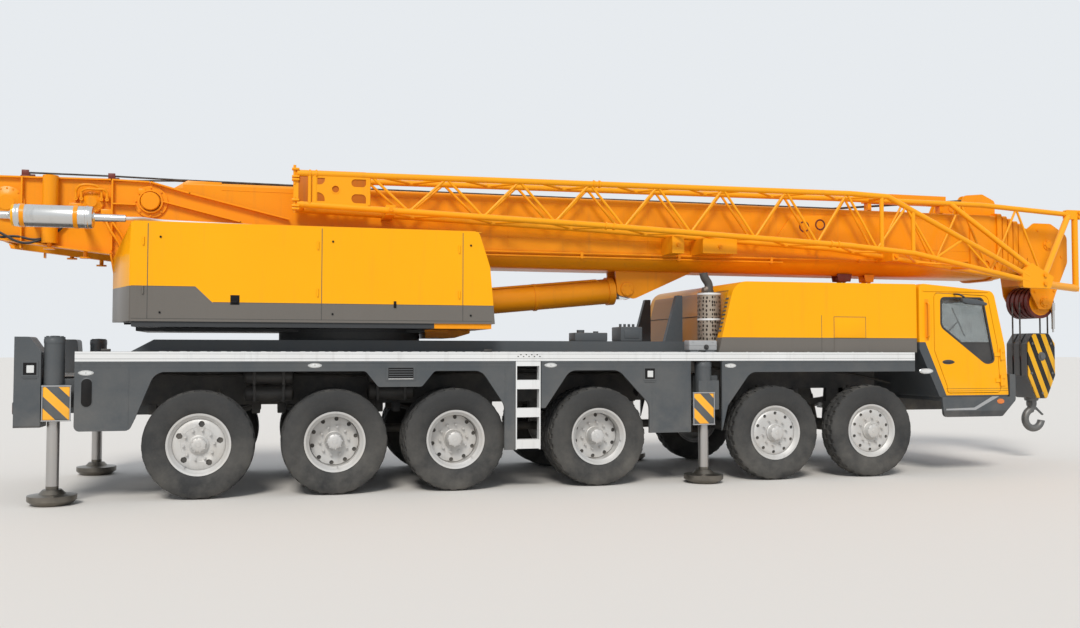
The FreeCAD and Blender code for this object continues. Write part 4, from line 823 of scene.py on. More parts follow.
def addSkirtDetails():
    face, proud = skirtBits["face"], skirtBits["proud"]
    bm = newBm()
    for x, z in skirtBits["markers"]:
        wide, high = skirtBits["markerSize"]
        addOval(bm, x, z, wide, high, face + proud, 0.008, 1)
        addOval(bm, x, z, wide * 0.8, high * 0.62, face + proud + 0.0008, 0.008, 0)
        addOval(bm, x, z, 0.01, 0.01, face + proud + 0.002, 0.008, 1, 10)
    for x, z in skirtBits["lamps"]:
        half = skirtBits["lampSize"]
        addTinted(bm, 2, (x - half, -face - proud, z - half), (x + half, -face + 0.02, z + half), 0.003)
        addTinted(bm, 3, (x - half * 0.76, -face - proud - 0.001, z - half * 0.76),
                  (x + half * 0.76, -face, z + half * 0.76), 0.002)
        addTinted(bm, 0, (x - half * 0.36, -face - proud - 0.005, z - half * 0.5),
                  (x + half * 0.48, -face, z + half * 0.42), 0.003)
        addTinted(bm, 2, (x - half * 0.8, -face - proud - 0.004, z - half - 0.018),
                  (x + half * 0.8, -face, z - half - 0.008), 0.002)
    x, low, high, wide = skirtBits["slot"]
    for top, index, grow in ((0.004, 2, 0.009), (0.0052, 3, 0.0)):
        addOval(bm, x, low + wide, wide + grow, wide + grow, face + top, 0.006, index, 32,
                high - low - 2 * wide)
    left, right, low, high = skirtBits["vent"]
    addTinted(bm, 2, (left, -face - 0.006, low), (right, -face, high), 0.003)
    addTinted(bm, 3, (left + 0.03, -face - 0.0068, low + 0.03), (right - 0.03, -face, high - 0.025))
    addTinted(bm, 1, (left + 0.03, -face - 0.011, low + 0.018), (right - 0.03, -face, low + 0.03), 0.002)
    for row in range(4):
        z = low + 0.045 + row * 0.027
        addTinted(bm, 2, (left + 0.035, -face - 0.01, z), (right - 0.035, -face, z + 0.011), 0.002)
    flipY(bm)
    addPiece("skirt_details", bm, "carrier", ("clearLens", "aluminium", "slatePaint", "shadowBlack"))


def addSkirtFolds():
    # pressed edges, bolt heads and door gaps that break up the long skirts
    bm = newBm()
    face, z, row = skirtBits["face"], skirtBits["fold"], skirtBits["boltRow"]
    for low, high in ((-6.44, -1.56), (-1.19, 0.75), (1.2, 4.01)):
        addBox(bm, (low, -face - 0.003, z - 0.02), (high, -face + 0.01, z), 0.0012, 1)
        addBox(bm, (low, -face - 0.0015, z - 0.062), (high, -face + 0.01, z - 0.056))
    for x, pitch, count in skirtBits["boltRows"]:
        bolt = addRod(bm, (x, -face - 0.0038, row), (x, -face + 0.004, row), 0.0085, 6)
        addCopies(bm, bolt, [Matrix.Translation((step * pitch, 0, 0)) for step in range(1, count)])
    for x, low, high in ((-5.905, 0.8, 1.485), (-1.655, 0.5, 1.485), (0.235, 0.66, 1.485),
            (0.742, 0.66, 1.54)):
        addBox(bm, (x, -face - 0.0022, low), (x + 0.01, -face + 0.01, high), 0.001, 1)
    flipY(bm)
    addPiece("skirt_folds", bm, "carrier", "slatePaint")


def addDeckPlates():
    # raised tread bars on the walkway, the slotted edge by the ladder and the lifting eyes
    bm = newBm()
    spread = [Matrix.Translation((0.22 * i, 0.09 * j, 0)) for i in range(42) for j in range(4) if i or j]
    bars = (((-5.6, 1.13, 1.66), (-5.545, 1.142, 1.6645)), ((-5.487, 1.16, 1.66), (-5.475, 1.215, 1.6645)))
    for low, high in bars:
        before = set(bm.verts)
        addBox(bm, low, high, 0.0015, 1)
        addCopies(bm, [v for v in bm.verts if v not in before], spread)
    flipY(bm)
    addPiece("deck_tread", bm, "carrier", "stepMetal")
    bm = newBm()
    # the slots are thin black blocks on the deck edge: painted shade standing in for open slots
    slot = addBox(bm, (-1.5, -1.5022, 1.6), (-1.485, -1.497, 1.612), 0.0, 1)
    addCopies(bm, slot, [Matrix.Translation((0.034 * i, 0, 0.022 * (i % 2))) for i in range(1, 9)])
    for x in (-6.2, -1.9, 0.9, 3.8):
        addBox(bm, (x, -1.43, 1.66), (x + 0.1, -1.4, 1.69), 0.006)
    flipY(bm)
    addPiece("deck_slots", bm, "carrier", "blackPlastic")
    bm = newBm()
    # valve chest and the oil filler box on the deck, on the right
    addBox(bm, (0.0, -0.99, 1.8), (0.3, -0.62, 1.99), 0.012, 3)
    addBox(bm, (0.05, -0.998, 1.84), (0.25, -0.985, 1.95), 0.004)
    for x in (0.06, 0.12, 0.18, 0.24):
        addRod(bm, (x, -0.8, 1.985), (x, -0.8, 2.03), 0.018, 12)
    addBox(bm, (-0.62, -0.99, 1.8), (-0.18, -0.7, 1.91), 0.01, 3)
    addRod(bm, (-0.52, -0.9, 1.9), (-0.52, -0.9, 1.945), 0.05, 20)
    addRod(bm, (-0.3, -0.86, 1.9), (-0.3, -0.86, 1.93), 0.035, 16)
    addPiece("valve_chest", bm, "carrier", "slatePaint")
    bm = newBm()
    addBox(bm, (0.765, -1.44, 1.682), (1.15, -1.27, 1.811), 0.012, 3)
    addBox(bm, (0.79, -1.42, 1.66), (1.125, -1.29, 1.684), 0.003)
    addBox(bm, (0.765, -1.444, 1.745), (1.15, -1.27, 1.752), 0.002)
    for x in (0.82, 1.09):
        addRod(bm, (x, -1.446, 1.79), (x, -1.43, 1.79), 0.009, 6)
    addPiece("filler_box", bm, "carrier", "greyBox")
    bm = newBm()
    addTurned(bm, [(-1.452, 0.0), (-1.452, 0.03), (-1.446, 0.034), (-1.43, 0.034), (-1.43, 0.0)],
              (1.0, 0, 1.725), steps=20)
    addTurned(bm, [(-1.468, 0.0), (-1.468, 0.014), (-1.45, 0.017), (-1.45, 0.0)], (1.0, 0, 1.725), steps=16)
    addPiece("filler_nozzle", bm, "carrier", "blackPlastic")


def addJackDetails():
    # warning panels, rim plates and pipe unions of the four jacks
    for end, mid, low, high in (("front", 0.934, 0.752, 1.137), ("rear", -6.625, 0.919, 1.279)):
        for side, sign in (("right", -1), ("left", 1)):
            bm = newBm()
            addBox(bm, (mid - 0.135, -1.512, low), (mid + 0.135, -1.47, high), 0.01, 3)
            body = "outrigger_beam_%s_%s" % (end, side)
            if sign > 0:
                turnOver(bm)
            addPiece("chevron_%s_%s" % (end, side), bm, body, ("chevron" + end.title(),))
            bm = newBm()
            addBox(bm, (mid - 0.15, -1.518, high), (mid + 0.15, -1.494, high + 0.014), 0.003, 1)
            addBox(bm, (mid - 0.15, -1.518, low - 0.014), (mid + 0.15, -1.494, low), 0.003, 1)
            for x in (mid - 0.14, mid + 0.14):
                addBox(bm, (x - 0.005, -1.516, low), (x + 0.005, -1.494, high), 0.002, 1)
            if sign > 0:
                turnOver(bm)
            addPiece("panel_rim_%s_%s" % (end, side), bm, body, "greyBox")
            bm = newBm()
            top = 1.54 if end == "front" else 1.82
            x = {"front": 0.97, "rear": -6.67}[end]
            addTurned(bm, [(top - 0.07, 0.104), (top - 0.07, 0.1085), (top - 0.025, 0.1085),
                           (top - 0.018, 0.104)],
                      (x, 1.4 * sign, 0), "Z", 32)
            bolt = addRod(bm, (x + 0.08, 1.4 * sign, top - 0.004), (x + 0.08, 1.4 * sign, top + 0.01), 0.01,
                          6)
            addCopies(bm, bolt, aroundAxis((x, 1.4 * sign, 0), "Z", 8))
            addTurned(bm, [(top - 0.002, 0.0), (top - 0.002, 0.046), (top + 0.012, 0.042),
                           (top + 0.014, 0.0)], (x, 1.4 * sign, 0), "Z", 24)
            addTurned(bm, [(0.928, 0.07), (0.912, 0.078), (0.905, 0.09), (0.928, 0.1055)],
                      (x, 1.4 * sign, 0), "Z", 32)
            addPiece("jack_cap_%s_%s" % (end, side), bm, body, "slatePaint")


def addUnderside():
    # leaf springs, shock absorbers, drive shafts, air tanks and brake chambers below the frame
    bm = newBm()
    for x in wheelSize["axles"]:
        top = 1.15 if x > 1 else 1.01
        for y in (0.395, -0.395):
            for leaf in range(6):
                half = 0.62 - leaf * 0.085
                z = (0.8 if x < 1 else 0.86) + 0.016 * (5 - leaf)
                bend = [(half * step / 4, z + 0.1 * (half * step / 4 / 0.62) ** 2) for step in range(-4, 5)]
                addPlate(bm, [(x + a, b) for a, b in bend] + [(x + a, b + 0.014) for a,
                        b in reversed(bend)], y - 0.05, y + 0.05)
            for end in (-0.6, 0.6):
                addBox(bm, (x + end - 0.05, y - 0.065, 0.9), (x + end + 0.05, y + 0.065, top + 0.02), 0.012)
    addPiece("leaf_springs", bm, "carrier", "framePaint")
    bm = newBm()
    for front, rear in zip(wheelSize["axles"][1:4], wheelSize["axles"][2:5]):
        addRod(bm, (front - 0.35, 0, 0.66), (rear + 0.35, 0, 0.66), 0.055, 20)
        for x in (front - 0.3, rear + 0.3):
            addBox(bm, (x - 0.05, -0.075, 0.6), (x + 0.05, 0.075, 0.72), 0.02)
            addTurned(bm, [(x - 0.12, 0.0), (x - 0.12, 0.085), (x - 0.095, 0.085), (x - 0.095, 0.0)],
                      (0, 0, 0.66), "X", 20)
    addPiece("drive_shafts", bm, "carrier", "castIron")
    bm = newBm()
    for x, y in ((-2.95, 0.78), (-2.95, -0.78), (0.55, -0.8), (0.55, 0.8), (2.69, 0.62), (-4.41, 0.8),
                 (-4.41, -0.8)):
        for z in (1.16, 1.36):
            addTurned(bm, [(x - 0.3, 0.0), (x - 0.295, 0.05), (x - 0.27, 0.088), (x - 0.25, 0.095),
                           (x + 0.25, 0.095), (x + 0.27, 0.088),
                           (x + 0.295, 0.05), (x + 0.3, 0.0)], (0, y, z), "X", 24)
            for at in (-0.17, 0.17):
                addBox(bm, (x + at - 0.02, y - 0.1, z - 0.1), (x + at + 0.02, y + 0.1, z + 0.1), 0.01)
    addPiece("air_tanks", bm, "carrier", "blackPlastic")
    bm = newBm()
    for x in wheelSize["axles"][:2] + wheelSize["axles"][5:]:
        for y in (0.56, -0.56):
            addRod(bm, (x + 0.3, y, 0.62), (x + 0.22, y, 1.02), 0.035, 16)
            addRod(bm, (x + 0.22, y, 1.02), (x + 0.17, y, 1.2), 0.024, 16)
    for x in wheelSize["axles"][2:]:
        for y in (0.62, -0.62):
            addTurned(bm, [(x + 0.1, 0.0), (x + 0.1, 0.055), (x + 0.13, 0.085), (x + 0.17, 0.085),
                           (x + 0.19, 0.092), (x + 0.21, 0.085),
                           (x + 0.27, 0.085), (x + 0.3, 0.04), (x + 0.3, 0.0)], (0, y, 0.82), "X", 24)
    addPiece("dampers", bm, "carrier", "castIron")
    # brake hoses and oil pipes along the frame
    pipes = [
        [(-6.3, -0.48, 1.5), (-5.6, -0.5, 1.42), (-4.6, -0.48, 1.45), (-3.4, -0.5, 1.4),
         (-2.2, -0.48, 1.46), (-0.9, -0.5, 1.42), (0.6, -0.48, 1.45)],
        [(-6.3, -0.5, 1.44), (-5.4, -0.52, 1.36), (-4.4, -0.5, 1.39), (-3.0, -0.52, 1.34),
         (-1.8, -0.5, 1.4), (-0.5, -0.52, 1.36), (0.6, -0.5, 1.38)],
        [(1.4, -0.5, 1.45), (2.1, -0.52, 1.38), (2.9, -0.5, 1.42), (3.7, -0.52, 1.36), (4.3, -0.5, 1.22)],
    ]
    addLine("frame_pipes", pipes + [[(x, -y, z) for x, y, z in run] for run in pipes], 0.016, "carrier",
            "hoseRubber")


addSkirtDetails()
addSkirtFolds()
addDeckPlates()
addJackDetails()
addUnderside()
print("carrier details made")


# driving cab and hood details
def makeShield():
    # perforated heat shield: oval holes in a dusty steel sheet, their near-black colour painted shade
    # standing in for the dark inside the holes
    tree, shader, paint = makeFinish("perforated", finishes["heatedSteel"])
    place = placeOf(tree)
    stretch = addNode(tree, "Mapping", None, {"Scale": (1.0, 1.0, 0.62)})
    tree.links.new(place, stretch.inputs[0])
    cells = addNode(tree, "TexVoronoi", {"feature": "F1"}, {"Scale": 30.0, "Randomness": 0.35})
    tree.links.new(stretch.outputs[0], cells.inputs["Vector"])
    hole = doMath(tree, "LESS_THAN", cells.outputs["Distance"], 0.36)
    # near-black hole colour: painted shade
    colour = mixColour(tree, hole, (0.36, 0.31, 0.255, 1), (0.03, 0.021, 0.016, 1))
    tree.links.new(colour, paint)
    addBump(tree, shader, hole, 0.8, -0.004)


makeShield()
cabBits = {
    "side": 1.48, "window": ((4.45, 2.41), (5.12, 2.41), (5.3, 1.54), (5.16, 1.5), (4.45, 2.01)),
    "panelTop": 1.79, "handle": (4.557, 1.529), "grab": (4.225, 1.815, 2.387),
    "hatch": (2.831, 3.307, 1.85, 2.132),
    "seamX": 2.648, "stack": (1.193, -1.105),
}


def addFrame(bm, points, grow, wide, low, high, corner=0.058):
    # a flat frame round an outline: outline face, inset, and pushed through Y
    verts = [bm.verts.new((a, low, b)) for a, b in points]
    bm.faces.new(verts)
    bmesh.ops.bevel(bm, geom=verts, offset=corner, offset_type="OFFSET", affect="VERTICES", segments=5,
                    profile=0.5, material=-1)
    face = [f for f in bm.faces if any(abs(v.co.y - low) < 1e-6 for v in f.verts) and f.is_valid][-1]
    middle = face.calc_center_median()
    for vert in face.verts:
        vert.co += (vert.co - middle).normalized() * grow
    bmesh.ops.inset_region(bm, faces=[face], thickness=wide, use_even_offset=True, use_boundary=True)
    bmesh.ops.delete(bm, geom=[face], context="FACES_ONLY")
    ring = [f for f in bm.faces if all(abs(v.co.y - low) < 1e-6 for v in f.verts)]
    grown = bmesh.ops.extrude_face_region(bm, geom=ring)["geom"]
    bmesh.ops.translate(bm, vec=(0, high - low, 0), verts=vertsIn(grown))
    bmesh.ops.recalc_face_normals(bm, faces=list(bm.faces))


def addDoorDetails(side):
    name = "left" if side > 0 else "right"
    face = -cabBits["side"]
    bm = newBm()
    addFrame(bm, cabBits["window"], 0.012, 0.026, face + 0.006, face - 0.004)
    addPlate(bm, [(4.765, cabBits["panelTop"]), (5.243, cabBits["panelTop"]), (5.292, 1.552),
                  (5.165, 1.512)], -1.47, -1.463)
    addBox(bm, (4.7, -1.474, 1.79), (5.26, -1.462, 1.803), 0.002, 1)
    if side > 0:
        turnOver(bm)
    addPiece("door_rubber_" + name, bm, "cab_door_" + name, "blackPlastic")
    bm = newBm()
    x, z = cabBits["handle"]
    addOval(bm, x, z, 0.105, 0.036, -face + 0.0012, 0.006, 0)
    if side > 0:
        turnOver(bm)
    addPiece("handle_cup_" + name, bm, "cab_door_" + name, "castIron")
    bm = newBm()
    addBox(bm, (x - 0.078, face - 0.016, z - 0.01), (x + 0.07, face - 0.004, z + 0.014), 0.005, 3)
    addRod(bm, (x + 0.085, face - 0.008, z), (x + 0.085, face + 0.004, z), 0.01, 16)
    if side > 0:
        turnOver(bm)
    addPiece("door_handle_" + name, bm, "cab_door_" + name, "blackPlastic")


def addCabSides():
    face = -cabBits["side"]
    bm = newBm()
    x, low, high = cabBits["grab"]
    addBox(bm, (x - 0.032, face - 0.0022, low), (x + 0.032, face + 0.004, high), 0.0018, 1)
    flipY(bm)
    addPiece("grab_recess", bm, "carrier", "boomPaint")
    runs = [[(x, face + 0.01, low + 0.05), (x, face - 0.045, low + 0.055), (x, face - 0.05, low + 0.1),
             (x, face - 0.05, high - 0.1),
             (x, face - 0.045, high - 0.055), (x, face + 0.01, high - 0.05)]]
    runs.append([(a, -b, c) for a, b, c in runs[0]])
    addLine("grab_bars", runs, 0.014, "carrier", "boomPaint")
    bm = newBm()
    # folded dark strip with its light edge along the foot of the cab, side lamps
    addPlate(bm, [(4.5, 0.872), (4.965, 0.872), (5.345, 1.055), (5.235, 1.055), (4.945, 0.905),
                  (4.5, 0.893)], -1.5035, -1.497)
    flipY(bm)
    addPiece("sill_strip", bm, "carrier", "greyBox")
    bm = newBm()
    addOval(bm, 5.372, 0.987, 0.062, 0.038, 1.508, 0.012, 0)
    flipY(bm)
    addPiece("side_lamps", bm, "carrier", "amberLens")
    bm = newBm()
    addOval(bm, 4.215, 1.408, 0.112, 0.04, 1.4835, 0.008, 1)
    addOval(bm, 4.215, 1.408, 0.09, 0.026, 1.4842, 0.008, 0)
    flipY(bm)
    addPiece("side_markers", bm, "carrier", ("clearLens", "aluminium"))
    bm = newBm()
    # wide kerb mirror over the door and its arm
    addPlate(bm, [(4.7, 2.345), (4.78, 2.318), (5.08, 2.3), (5.1, 2.335), (4.98, 2.375), (4.78, 2.4),
                  (4.7, 2.4)], -1.62, -1.55, bevel=0.018)
    flipY(bm)
    addPiece("mirror_shells", bm, "carrier", "slatePaint")
    run = [(4.66, -1.47, 2.46), (4.66, -1.54, 2.46), (4.7, -1.6, 2.44), (4.76, -1.6, 2.39)]
    addLine("mirror_arms", [run, [(x, -y, z) for x, y, z in run]], 0.013, "carrier", "blackPlastic")
    bm = newBm()
    # rubber gutter over the doors and seams of the cab side
    addBox(bm, (4.17, face - 0.012, 2.492), (5.2, face + 0.002, 2.508), 0.004)
    addBox(bm, (4.3, face - 0.0015, 1.66), (4.304, face + 0.002, 2.5))
    flipY(bm)
    addPiece("cab_gutter", bm, "carrier", "yellowPaint")


def screenX(z, out):
    # where the sloped cab front is at a height, pushed out of the glass
    return 5.47 + (5.31 - 5.47) * (z - 1.75) / (2.44 - 1.75) + out


def addCabFront():
    bm = newBm()
    # windscreen rubber, grille bars with a blank panel, lamps
    for low, high, wide in ((1.752, 1.792, 1.345), (2.388, 2.428, 1.345)):
        addPlate(bm, [(screenX(low, 0.008), low), (screenX(high, 0.008), high),
                      (screenX(high, -0.012), high), (screenX(low, -0.012), low)],
                 -wide, wide)
    for y in (-1.345, 1.309):
        addPlate(bm, [(screenX(1.76, 0.0085), 1.76), (screenX(2.42, 0.0085), 2.42),
                      (screenX(2.42, -0.012), 2.42), (screenX(1.76, -0.012), 1.76)],
                 y, y + 0.036)
    addPiece("screen_rubber", bm, "carrier", "blackPlastic")
    bm = newBm()
    addPlate(bm, [(5.488, 1.68), (5.494, 1.68), (5.52, 1.3), (5.5, 1.3)], -0.95, 0.95)
    for row in range(7):
        z = 1.335 + row * 0.048
        x = 5.523 - (z - 1.3) * 0.068
        addBox(bm, (x - 0.012, -0.93, z), (x + 0.01, 0.93, z + 0.022), 0.005, 1)
    addBox(bm, (5.62, -0.28, 1.1), (5.63, 0.28, 1.24), 0.004)
    addPiece("grille", bm, "carrier", "blackPlastic")
    bm = newBm()
    for y in (-1.12, 1.12):
        addBox(bm, (5.612, y - 0.24, 1.08), (5.634, y + 0.24, 1.3), 0.01)
    addPiece("lamp_frames", bm, "carrier", "blackPlastic")
    bm = newBm()
    for y in (-1.22, -1.02, 1.02, 1.22):
        addTurned(bm, [(5.625, 0.0), (5.625, 0.082), (5.64, 0.08), (5.65, 0.055), (5.653, 0.0)],
                  (0, y, 1.19), "X", 28)
    addPiece("headlamps", bm, "carrier", "clearLens")
    bm = newBm()
    for y in (-1.4, 1.4):
        addBox(bm, (5.618, y - 0.05, 1.09), (5.632, y + 0.05, 1.29), 0.006)
    addPiece("turn_lamps", bm, "carrier", "amberLens")
    # wipers and sun visor
    runs = []
    for y, lean in ((0.95, -0.62), (0.05, -0.62)):
        runs.append([(screenX(1.7, 0.02), y, 1.7), (screenX(1.78, 0.035), y, 1.78),
                     (screenX(2.12, 0.025), y + lean, 2.12)])
    addLine("wiper_arms", runs, 0.009, "carrier", "blackPlastic", smooth=False)
    bm = newBm()
    for y, lean in ((0.95, -0.62), (0.05, -0.62)):
        addRod(bm, (screenX(1.9, 0.012), y + lean - 0.1, 1.9),
               (screenX(2.32, 0.012), y + lean + 0.05, 2.32), 0.008, 8)
        addRod(bm, (screenX(1.69, -0.01), y, 1.69), (screenX(1.7, 0.03), y, 1.7), 0.022, 16)
    addPiece("wiper_blades", bm, "carrier", "hoseRubber")
    bm = newBm()
    addPlate(bm, [(5.3, 2.43), (5.4, 2.4), (5.405, 2.412), (5.29, 2.47)], -1.3, 1.3, bevel=0.003)
    addPiece("sun_visor", bm, "carrier", "slatePaint")


def addHoodDetails():
    # seams, service hatch and louvres of the rear face
    face, seams = -1.45, newBm()
    left, right, low, high = cabBits["hatch"]
    for a, b in (((left, low), (left, high)), ((right, low), (right, high)), ((left, high), (right, high)),
                 ((left, low), (right, low))):
        addBox(seams, (a[0] - 0.003, face - 0.0012, a[1] - 0.003), (b[0] + 0.003, face + 0.002, b[1] + 0.003))
    addBox(seams, (cabBits["seamX"] - 0.003, face - 0.0012, 1.66),
           (cabBits["seamX"] + 0.003, face + 0.002, 2.15))
    addBox(seams, (left - 0.003, face - 0.0012, 1.68), (left + 0.003, face + 0.002, low))
    addBox(seams, (1.22, face - 0.0012, 1.8475), (4.088, face + 0.002, 1.8525))
    flipY(seams)
    addPiece("hood_seams", seams, "carrier", "castIron")
    bm = newBm()
    addBox(bm, (left + 0.012, face - 0.004, low + 0.012), (right - 0.012, face + 0.002, high - 0.012), 0.002)
    flipY(bm)
    addPiece("hood_hatch", bm, "carrier", "hoodPaint")
    bm = newBm()
    slope = (1.4 - 1.215) / (2.58 - 1.85)
    for row in range(9):
        z = 1.93 + row * 0.052
        x = 1.215 + (z - 1.85) * slope
        addPlate(bm, [(x - 0.012, z), (x + 0.004, z + 0.024), (x + 0.012, z + 0.024), (x + 0.01, z)],
                 -1.385, -1.31)
    addBox(bm, (1.2815, -1.4, 2.148), (1.2905, 1.4, 2.154))
    addPiece("hood_louvres", bm, "carrier", "castIron")
    bm = newBm()
    for x in (1.75, 2.35, 2.95, 3.55):
        addBox(bm, (x, -0.62, 2.582), (x + 0.42, 0.62, 2.59), 0.004)
        for step in range(6):
            addBox(bm, (x + 0.03 + step * 0.065, -0.55, 2.59), (x + 0.055 + step * 0.065, 0.55, 2.6), 0.004,
                   1)
    addPiece("hood_vents", bm, "carrier", "hoodPaint")
    bm = newBm()
    x, y = cabBits["stack"]
    addTurned(bm, [(1.75, 0.146), (1.75, 0.153), (2.44, 0.153), (2.44, 0.146), (1.75, 0.146)], (x, y, 0),
              "Z", 48)
    for z in (1.752, 2.09, 2.425):
        addTurned(bm, [(z - 0.012, 0.152), (z - 0.012, 0.157), (z + 0.012, 0.157), (z + 0.012, 0.152)],
                  (x, y, 0), "Z", 48, 1)
    addPiece("exhaust_shield", bm, "carrier", ("perforated", "stepMetal"))
    bm = newBm()
    addTurned(bm, [(2.445, 0.046), (2.445, 0.062), (2.475, 0.062), (2.475, 0.046)], (x, y, 0), "Z", 28)
    addPiece("exhaust_collars", bm, "carrier", "castIron")
    addLine("exhaust_elbow", [[(x, y, 2.43), (x, y, 2.51), (1.185, y, 2.57), (1.145, y, 2.62),
            (1.12, y, 2.665), (1.115, y, 2.705)]],
            0.054, "carrier", "castIron", sides=6)


for side in (1, -1):
    addDoorDetails(side)
addCabSides()
addCabFront()
addHoodDetails()
print("cab and hood details made")


# upper works, boom, jib and hook details
makeStriped("hookStripes", "hookSteel", (2.4, 0, 1.0), 0.42, ((0.9, 0.47, 0.012), (0.016, 0.016, 0.017)),
            0.9, 2.2)
boomFoot = (-5.8, 0, 3.45)
luffEye = (0.37, 0, 2.53)
headSheaves = ((7.165, 2.44), (7.24, 3.33))
coverBits = {"face": -1.4, "silencer": (0, -1.29, 3.155), "seams": (-5.733, -3.826, -2.157),
             "handle": -4.793, "lock": -2.973}


def addStrip(bm, points, thick, low, high):
    # a flat bar that follows points in XZ, between two Y levels
    for (ax, az), (bx, bz) in zip(points, points[1:]):
        along = Vector((bx - ax, 0, bz - az)).normalized()
        up = Vector((-along.z, 0, along.x)) * thick
        a, b = Vector((ax, 0, az)) - along * thick * 0.3, Vector((bx, 0, bz)) + along * thick * 0.3
        addPlate(bm, [(a.x, a.z), (b.x, b.z), (b.x + up.x, b.z + up.z), (a.x + up.x, a.z + up.z)], low, high)


def addCoverDetails():
    face = coverBits["face"]
    bm = newBm()
    for x in coverBits["seams"]:
        addBox(bm, (x - 0.004, face - 0.0012, 2.03), (x + 0.004, face + 0.002, 3.1))
    addBox(bm, (-5.9, face - 0.0012, 2.028), (-1.8, face + 0.002, 2.034))
    for a, b in (((-5.905, 2.3925), (-5.227, 2.3975)), ((-5.031, 2.2175), (-1.765, 2.2225))):
        addBox(bm, (a[0], face - 0.001, a[1]), (b[0], face + 0.002, b[1]))
    addPiece("cover_seams", bm, "upper_works", "castIron")
    bm = newBm()
    x = coverBits["handle"]
    addBox(bm, (x - 0.05, face - 0.004, 2.195), (x + 0.05, face + 0.002, 2.305), 0.002, 1)
    addBox(bm, (x - 0.03, face - 0.02, 2.212), (x + 0.03, face - 0.003, 2.24), 0.006)
    x = coverBits["lock"]
    addBox(bm, (x - 0.016, face - 0.01, 2.18), (x + 0.016, face + 0.002, 2.26), 0.005)
    for x in (-5.6, -3.7, -2.06):
        for z in (2.1, 2.95):
            addRod(bm, (x, face - 0.01, z), (x, face + 0.002, z), 0.012, 12)
    addPiece("cover_handles", bm, "upper_works", "shadowBlack")
    bm = newBm()
    for x in (-5.78, -3.87, -2.2):
        for z in (2.35, 2.9):
            addRod(bm, (x, face - 0.007, z - 0.045), (x, face - 0.007, z + 0.045), 0.011, 12)
    addBox(bm, (-5.88, face + 0.01, 3.117), (-2.0, -0.66, 3.126), 0.003, 1)
    for x in (-5.3, -4.3, -3.3, -2.4):
        addBox(bm, (x, -1.25, 3.124), (x + 0.5, -0.8, 3.134), 0.004)
    addPiece("cover_hinges", bm, "upper_works", "coverPaint")
    bm = newBm()
    addTurned(bm, [
        (-7.325, 0.034), (-7.325, 0.0405), (-7.18, 0.0405), (-7.165, 0.052), (-7.13, 0.108),
        (-7.115, 0.1225), (-7.085, 0.1235),
        (-7.08, 0.127), (-7.06, 0.127), (-7.055, 0.1235), (-6.395, 0.1235), (-6.39, 0.128), (-6.37, 0.128),
        (-6.365, 0.1235),
        (-6.335, 0.1235), (-6.322, 0.116), (-6.318, 0.06), (-6.3, 0.043), (-5.985, 0.0405), (-5.985, 0.034),
    ], coverBits["silencer"], "X", 48)
    addPiece("silencer_sleeve", bm, "upper_works", "aluminium")
    bm = newBm()
    for x in (-7.055, -6.515):
        addTurned(bm, [(x, 0.1236), (x, 0.129), (x + 0.045, 0.129), (x + 0.045, 0.1236)],
                  coverBits["silencer"], "X", 40)
        addBox(bm, (x, -1.2, 3.125), (x + 0.045, -1.14, 3.185), 0.006)
    addPiece("silencer_bands", bm, "upper_works", "boomPaint")
    addLine("tail_pipe", [[(-5.99, -1.29, 3.155), (-5.9, -1.27, 3.16), (-5.82, -1.05, 3.19),
            (-5.75, -0.8, 3.205), (-5.6, -0.72, 3.205),
                           (-4.9, -0.7, 3.195), (-4.06, -0.7, 3.18)]], 0.02, "upper_works", "stepMetal")


def addCoverCorner():
    # the cover's slanted rear corner
    bm = newBm()
    rows = []
    for z, reach in ((2.0, 1.0), (2.76, 1.0), (3.115, 0.06)):
        rows.append([bm.verts.new((-5.912 - 0.29 * reach, -0.655, z)),
                     bm.verts.new((-5.912 - 0.012 * reach, -1.388, z)),
                     bm.verts.new((-5.896, -1.388, z)), bm.verts.new((-5.896, -0.655, z))])
    for lower, upper in zip(rows, rows[1:]):
        for i in range(4):
            bm.faces.new((lower[i], lower[(i + 1) % 4], upper[(i + 1) % 4], upper[i]))
    bm.faces.new(rows[0])
    bm.faces.new(rows[-1])
    bmesh.ops.recalc_face_normals(bm, faces=list(bm.faces))
    softenEdges(bm, bm.edges, 0.006)
    addPiece("cover_corner", bm, "upper_works", "coverPaint")


